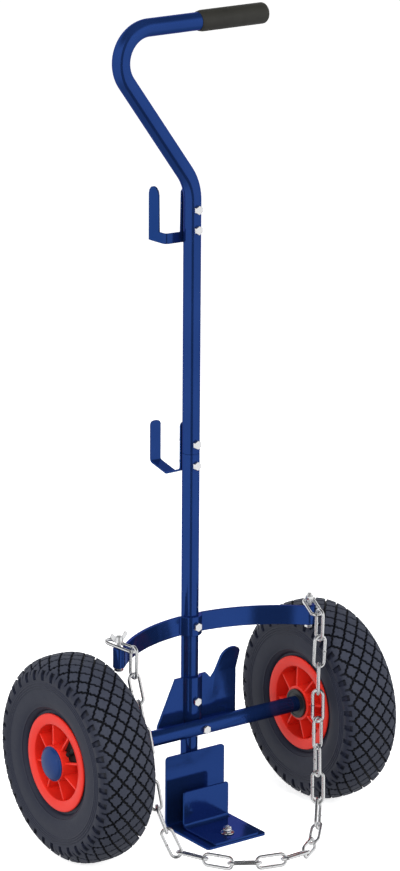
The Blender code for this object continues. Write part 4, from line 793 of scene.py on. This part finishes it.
RIM_HALF = 33.5
RIM_RADIUS = 61.5
RIM_LIP = 4.0
RIM_LIP_ROLL = 1.9
RIM_BARREL = 47.5
RIM_SEAT = 54.0
RIM_FACE_DEPTH = 1.5
RIM_FACE_EDGE = 7.0
RIM_EDGE = 1.2
WEB_THICKNESS = 5.0
WEB_SINK = 1.0
WEB_EDGE = 0.5
RIBS = 8
RIB_PHASE = {"left": math.radians(14), "right": math.radians(9.5)}
RIB_THICKNESS = 2.6
RIB_REACH = 32.75
RIB_DROP = 4.0
RIB_SINK = 1.5
RIB_EDGE = 0.7
HUB_RADIUS = 22.5
HUB_INNER = 34.0
HUB_OUTER = 37.0
HUB_BORE = 14.0
HUB_EDGE = 0.8
WINDOW_FIELD = {"left": -2, "right": 2}
WINDOW_MARGIN = 2.0

red = Finish("red_plastic")
red.surface(
    Base_Color=red.blend(red.noise(30), (0.7, 0.02, 0.011, 1), (0.8, 0.03, 0.017, 1)),
    Roughness=0.3 + 0.12 * red.noise(160),
    Specular_IOR_Level=0.35,
    Normal=red.bump(red.noise(700, 2), 0.00004),
)


def wheel_aim(angle):
    """Direction in the wheel's plane at an angle from the top towards the back."""
    return Vector((0, math.sin(angle), math.cos(angle)))


def rim_barrel(shape):
    lip = [(RIM_HALF - RIM_FACE_DEPTH, RIM_BARREL), (RIM_HALF, RIM_RADIUS - RIM_FACE_EDGE)]
    lip += arc((RIM_HALF - RIM_LIP / 2, RIM_RADIUS - RIM_LIP_ROLL), RIM_LIP_ROLL, 10, 170, 8)
    lip += [(RIM_HALF - RIM_LIP, RIM_SEAT)]
    outline = lip + [(-along, radius) for along, radius in reversed(lip)]
    part = bmesh.new()
    turned(part, outline, Vector(), RIGHT, 120)
    soften(part, RIM_EDGE, 3, 25, lambda point: point.yz.length < RIM_RADIUS - 2.5)
    join(shape, part)


def rim_hub(shape):
    outline = [(-HUB_INNER, HUB_BORE), (HUB_OUTER, HUB_BORE)]
    outline += [(HUB_OUTER, HUB_RADIUS), (-HUB_INNER, HUB_RADIUS)]
    part = bmesh.new()
    turned(part, outline, Vector(), RIGHT, 80)
    soften(part, HUB_EDGE, 3)
    join(shape, part)


def rim_web(shape, window):
    """A flat ring spun from a line, its open field deleted and the rest given its thickness."""
    web = bmesh.new()
    near, far = HUB_RADIUS + WINDOW_MARGIN, RIM_BARREL - WINDOW_MARGIN
    radii = (HUB_RADIUS - WEB_SINK, near, far, RIM_BARREL + WEB_SINK)
    turned(web, [(0, radius) for radius in radii], Vector(), RIGHT, 160, closed=False)
    field = []
    for face in web.faces:
        place = face.calc_center_median().yz
        turn = (math.atan2(place.x, place.y) - window + math.pi) % math.tau - math.pi
        spread = math.pi / RIBS - (RIB_THICKNESS / 2 + WINDOW_MARGIN) / place.length
        if near < place.length < far and abs(turn) < spread:
            field.append(face)
    bmesh.ops.delete(web, geom=field, context="FACES")
    bmesh.ops.recalc_face_normals(web, faces=web.faces)
    bmesh.ops.solidify(web, geom=web.faces, thickness=WEB_THICKNESS)
    mean = sum(vert.co.x for vert in web.verts) / len(web.verts)
    bmesh.ops.translate(web, verts=web.verts, vec=(-mean, 0, 0))
    soften(web, WEB_EDGE, 2, 50)
    join(shape, web)


def rim_ribs(shape, phase):
    foot, tip = HUB_RADIUS - RIB_SINK, RIM_BARREL + RIB_SINK
    for k in range(RIBS):
        rib = bmesh.new()
        size = Matrix.Diagonal((2 * RIB_REACH, RIB_THICKNESS, tip - foot, 1))
        bmesh.ops.create_cube(rib, size=1, matrix=Matrix.Translation((0, 0, (foot + tip) / 2)) @ size)
        for vert in rib.verts:
            if vert.co.z > (foot + tip) / 2:
                vert.co.x -= math.copysign(RIB_DROP, vert.co.x)
        soften(rib, RIB_EDGE, 3)
        turn = Matrix.Rotation(-(phase + math.tau * k / RIBS), 3, "X")
        bmesh.ops.rotate(rib, matrix=turn, verts=rib.verts)
        join(shape, rib)


def window_turn(side):
    """Angle of the middle of a wheel's open field."""
    return RIB_PHASE[side] + math.tau / RIBS * (WINDOW_FIELD[side] + 0.5)


for side in ("left", "right"):
    shape = bmesh.new()
    rim_barrel(shape)
    rim_hub(shape)
    rim_web(shape, window_turn(side))
    rim_ribs(shape, RIB_PHASE[side])
    to_wheel(shape, side)
    add_piece(side + "_rim_moulding", shape, red, side + "_wheel", [side + "_rim"], 40)

# Inner tubes
# Butyl tubes inside the tyres. Only the valve is seen: a threaded stem with a cap that points at the hub
# in the open field of the rim, on a black sheet that closes this field as painted shade.

TUBE_MIDDLE = 87.0
TUBE_SECTION = 28.0
VALVE_PLACE = 29.0
VALVE_TIP = 27.0
VALVE_RADIUS = 3.5
VALVE_CAP = [(0, 0), (0, 2.4), (0.8, 3.1), (8, 3.3), (8, 2.6)]
VALVE_THREADS = 5
VALVE_BASE = 13.6
VALVE_SINK = 2.0
SHADE_SHEET_PLACE = 26.5
SHADE_SHEET_THICKNESS = 1.2

butyl = Finish("butyl")
butyl.surface(
    Base_Color=butyl.blend(butyl.noise(90), (0.0025, 0.0025, 0.003, 1), (0.007, 0.007, 0.007, 1)),
    Roughness=0.5 + 0.2 * butyl.noise(200),
    Specular_IOR_Level=0.25,
    Normal=butyl.bump(butyl.noise(1300), 0.00005),
)


def valve_stem(window):
    """The stem from the tip of its cap outwards, with rings for its thread."""
    stem = bmesh.new()
    outline = [(VALVE_TIP + along, radius) for along, radius in VALVE_CAP]
    for k in range(VALVE_THREADS):
        outline += [(VALVE_TIP + 8.5 + k, 2.5), (VALVE_TIP + 9 + k, 2.9)]
    end = RIM_BARREL + VALVE_SINK
    outline += [(VALVE_TIP + VALVE_BASE, VALVE_RADIUS), (end, VALVE_RADIUS), (end, 0)]
    turned(stem, outline, RIGHT * VALVE_PLACE, wheel_aim(window), 32, closed=False)
    return stem


# Painted shade: a black sheet that fills the open field of the rim, where there is only deep shade.
def shade_sheet(window):
    """A black sheet of painted shade, which fills the open field from rib to rib behind the valve."""
    plate = bmesh.new()
    start = wheel_aim(window - math.pi / RIBS)
    reaches = (HUB_RADIUS - WEB_SINK, RIM_BARREL + WEB_SINK)
    line = [plate.verts.new(start * reach + RIGHT * SHADE_SHEET_PLACE) for reach in reaches]
    swing = {"axis": RIGHT, "angle": -math.tau / RIBS, "steps": 20, "cent": Vector()}
    bmesh.ops.spin(plate, geom=line + [plate.edges.new(line)], **swing)
    bmesh.ops.recalc_face_normals(plate, faces=plate.faces)
    bmesh.ops.solidify(plate, geom=plate.faces, thickness=SHADE_SHEET_THICKNESS)
    return plate


for side in ("left", "right"):
    shape = bmesh.new()
    turned(shape, arc((0, TUBE_MIDDLE), TUBE_SECTION, 0, 345, 23), Vector(), RIGHT)
    join(shape, valve_stem(window_turn(side)))
    # The black sheet joined here is painted shade in the open field of the rim.
    join(shape, shade_sheet(window_turn(side)))
    to_wheel(shape, side)
    add_piece(side + "_tube_valve_and_shade_sheet", shape, butyl, side + "_wheel", [side + "_inner_tube"])

# Bearings and hub caps
# A black nylon bush in each hub, its flange seen round the axle on the inner side, and a blue moulded
# cap snapped into the outer end over the clip.

CAP_RADIUS = 21.7
CAP_HEIGHT = 8.0
CAP_RIM = 1.6
CAP_PLUG = 17.0
CAP_PLUG_DEPTH = 3.0
CAP_EDGE = 0.6
BUSH_SETBACK = 8.5
BUSH_FIT = 0.3
AXLE_FIT = 0.1
FLANGE_RADIUS = 19.0
FLANGE_THICKNESS = 3.0
FLANGE_EDGE = 0.8
FLANGE_RECESS = 0.7

black = Finish("black_plastic")
black.surface(
    Base_Color=black.blend(black.noise(80), (0.008, 0.008, 0.009, 1), (0.016, 0.016, 0.017, 1)),
    Roughness=0.32 + 0.15 * black.noise(200),
    Normal=black.bump(black.noise(900), 0.00004),
)
blue = Finish("blue_plastic")
blue.surface(
    Base_Color=blue.blend(blue.noise(60), (0.004, 0.027, 0.125, 1), (0.007, 0.036, 0.16, 1)),
    Roughness=0.28 + 0.12 * blue.noise(200),
    Specular_IOR_Level=0.3,
    Normal=blue.bump(blue.noise(800), 0.00004),
)

for side in ("left", "right"):
    end = HUB_OUTER - BUSH_SETBACK
    face = -HUB_INNER - BUSH_FIT
    front = face - FLANGE_THICKNESS
    recess = front + FLANGE_RECESS
    outline = [(end, AXLE_RADIUS + AXLE_FIT), (end, HUB_BORE - BUSH_FIT), (face, HUB_BORE - BUSH_FIT)]
    outline.append((face, FLANGE_RADIUS))
    outline += arc((front + FLANGE_EDGE, FLANGE_RADIUS - FLANGE_EDGE), FLANGE_EDGE, 90, 180, 4)
    outline += [(front, FLANGE_RADIUS - 3), (recess, FLANGE_RADIUS - 3.5), (recess, AXLE_RADIUS + 2.6)]
    outline += [(front, AXLE_RADIUS + 2.2), (front, AXLE_RADIUS + AXLE_FIT)]
    shape = bmesh.new()
    turned(shape, outline, Vector(), RIGHT)
    to_wheel(shape, side)
    add_piece(side + "_bush", shape, black, side + "_wheel", [side + "_bearing"])

    seat = HUB_OUTER + BUSH_FIT
    brim = seat + CAP_RIM
    outline = [(seat - CAP_PLUG_DEPTH, 0), (seat - CAP_PLUG_DEPTH, CAP_PLUG), (seat, CAP_PLUG)]
    outline.append((seat, CAP_RADIUS - 0.4))
    outline += arc((brim - CAP_EDGE, CAP_RADIUS - CAP_EDGE), CAP_EDGE, 0, 90, 3)
    outline.append((brim, CAP_RADIUS - 2 * CAP_EDGE))
    for turn in np.radians(np.linspace(8, 90, 13)):
        dome = (CAP_HEIGHT - CAP_RIM) * math.sin(turn)
        outline.append((brim + dome, (CAP_RADIUS - 1.6) * math.cos(turn)))
    outline[-1] = (outline[-1][0], 0)
    shape = bmesh.new()
    turned(shape, outline, Vector(), RIGHT, closed=False)
    to_wheel(shape, side)
    add_piece(side + "_cap_moulding", shape, blue, side + "_wheel", [side + "_hub_cap"])

# Chain
# Long-link chain of bright zinc-plated steel wire. Each link is bent from one length of wire and closed
# by a flash weld in the middle of one side; the end links hang on the bolts of the band.

WIRE_RADIUS = 2.1
LINK_LENGTH = 43.5
LINK_WIDTH = 18.0
FLASH_SWELL = 1.16
FLASH_HALF = 0.7
LINK_STEPS = 14

link_bend = LINK_WIDTH / 2 - WIRE_RADIUS
link_straight = LINK_LENGTH - LINK_WIDTH


def chain_link():
    """A link in its X-Y plane, long along X, its weld on one straight side."""
    shape = bmesh.new()
    run = TubeRun(shape, (0, -link_bend, 0), RIGHT, WIRE_RADIUS, 18)
    bmesh.ops.delete(shape, geom=list(shape.faces), context="FACES_ONLY")
    run.flare(FLASH_SWELL)
    run.straight(FLASH_HALF)
    run.flare(1 / FLASH_SWELL)
    run.straight(link_straight / 2 - FLASH_HALF)
    run.bend(UP, math.pi, link_bend, LINK_STEPS)
    run.straight(link_straight)
    run.bend(UP, math.pi, link_bend, LINK_STEPS)
    run.straight(link_straight / 2 - FLASH_HALF)
    run.flare(FLASH_SWELL)
    run.straight(FLASH_HALF)
    run.flare(1 / FLASH_SWELL)
    bmesh.ops.remove_doubles(shape, verts=shape.verts, dist=0.01)
    return shape


def link_place(node):
    """Where a CAD link lies: its middle, with its long side as X and its flat normal as Z."""
    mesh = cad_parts[node].data
    points = np.empty(3 * len(mesh.vertices))
    mesh.vertices.foreach_get("co", points)
    points = np.unique(np.round(points.reshape(-1, 3) / MM, 3), axis=0)
    centre = points.mean(axis=0)
    axes = np.linalg.svd(points - centre, full_matrices=False)[2]
    long, normal = Vector(axes[0]), Vector(axes[2])
    turn = Matrix((long, normal.cross(long), normal)).transposed()
    return Matrix.Translation(centre) @ turn.to_4x4()


links = sorted(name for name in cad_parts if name.startswith("chain_link"))
for node in links:
    shape = chain_link()
    bmesh.ops.transform(shape, matrix=link_place(node), verts=shape.verts)
    body = "frame" if node in (links[0], links[-1]) else "chain"
    add_piece(node + "_wire", shape, zinc, body, [node], 60)

# Floor, light and camera
# A plain pale studio floor that runs to the horizon, a bright tent of soft light with a narrow dark gap
# beside the camera, four softboxes, and a long lens at the photo's place.

FLOOR_HALF = 40.0

floor_finish = Finish("studio_floor")
floor_finish.surface(
    Base_Color=floor_finish.blend(floor_finish.noise(3), (0.9, 0.9, 0.9, 1), (0.93, 0.93, 0.93, 1)),
    Roughness=0.8 + 0.1 * floor_finish.noise(20),
    Emission_Color=(1, 1, 1, 1),
    Emission_Strength=0.7,
)
shape = bmesh.new()
bmesh.ops.create_grid(shape, x_segments=1, y_segments=1, size=FLOOR_HALF)
mesh = bpy.data.meshes.new("studio_floor")
shape.to_mesh(mesh)
shape.free()
mesh.materials.append(floor_finish.material)
floor = bpy.data.objects.new("studio_floor", mesh)
floor.visible_glossy = False
floor.visible_diffuse = False
bpy.context.scene.collection.objects.link(floor)

CAMERA_AZIMUTH = math.radians(-35.9)
TENT_DARK = 0.08
TENT_BRIGHT = 0.85
TENT_GAP_PLACE = 0.14
TENT_GAP_CORE = 0.03
TENT_GAP_EDGE = 0.09
TENT_FRONT = (0.2, 0.6)
TENT_ROOF = (0.8, 0.4)
TENT_FOOT = (-0.9, -0.5)
TENT_FOOT_SHARE = 0.5

world = bpy.data.worlds.new("studio_tent")
world.use_nodes = True
tent = Network(world.node_tree)
direction = tent.node("ShaderNodeTexCoord", output="Generated")


def along(aim):
    """Share of the direction that points along an aim."""
    return tent.node("ShaderNodeVectorMath", {"operation": "DOT_PRODUCT"}, {0: direction, 1: aim}, "Value")


facing = along((math.sin(CAMERA_AZIMUTH), -math.cos(CAMERA_AZIMUTH), 0))
aside = along((math.cos(CAMERA_AZIMUTH), math.sin(CAMERA_AZIMUTH), 0)) - TENT_GAP_PLACE
gap = tent.range(facing, *TENT_FRONT) * tent.range(aside * aside, TENT_GAP_EDGE, TENT_GAP_CORE)
height = along((0, 0, 1))
lit = (1 - gap) * tent.range(height, *TENT_ROOF) * tent.range(height, *TENT_FOOT, TENT_FOOT_SHARE)
glow = world.node_tree.nodes["Background"].inputs
glow["Color"].default_value = (1, 1, 1, 1)
tent.set(glow["Strength"], TENT_DARK + (TENT_BRIGHT - TENT_DARK) * lit)
bpy.context.scene.world = world

LIGHTS = {
    "left_softbox": ((-2.6, -0.7, 1.6), 2.0, 44),
    "right_softbox": ((1.8, -2.5, 1.5), 2.0, 48),
    "front_softbox": ((-1.3, -2.3, 0.5), 0.8, 16),
    "top_softbox": ((-0.4, -0.6, 3.2), 2.4, 60),
}
aim_point = Vector((0, 0, 0.45))
for name, (place, size, power) in LIGHTS.items():
    lamp = bpy.data.lights.new(name, "AREA")
    lamp.size = size
    lamp.energy = power
    softbox = bpy.data.objects.new(name, lamp)
    softbox.location = place
    softbox.rotation_euler = (aim_point - Vector(place)).to_track_quat("-Z", "Y").to_euler()
    softbox.visible_glossy = False
    bpy.context.scene.collection.objects.link(softbox)

CAMERA_TARGET = Vector((-0.0048, 0.040, 0.5112))
CAMERA_DISTANCE = 3.9988
CAMERA_ELEVATION = math.radians(15.45)
CAMERA_ROLL = math.radians(0.4)
CAMERA_LENS = 134.7

level = math.cos(CAMERA_ELEVATION)
toward = Vector((
    math.sin(CAMERA_AZIMUTH) * level,
    -math.cos(CAMERA_AZIMUTH) * level,
    math.sin(CAMERA_ELEVATION),
))
sensor = bpy.data.cameras.new("camera")
sensor.sensor_fit = "VERTICAL"
sensor.sensor_height = 36
sensor.lens = CAMERA_LENS
camera = bpy.data.objects.new("camera", sensor)
turn = toward.to_track_quat("Z", "Y").to_matrix() @ Matrix.Rotation(CAMERA_ROLL, 3, "Z")
camera.matrix_world = Matrix.Translation(CAMERA_TARGET + toward * CAMERA_DISTANCE) @ turn.to_4x4()
bpy.context.scene.collection.objects.link(camera)
bpy.context.scene.camera = camera
bpy.context.scene.view_settings.view_transform = "Standard"
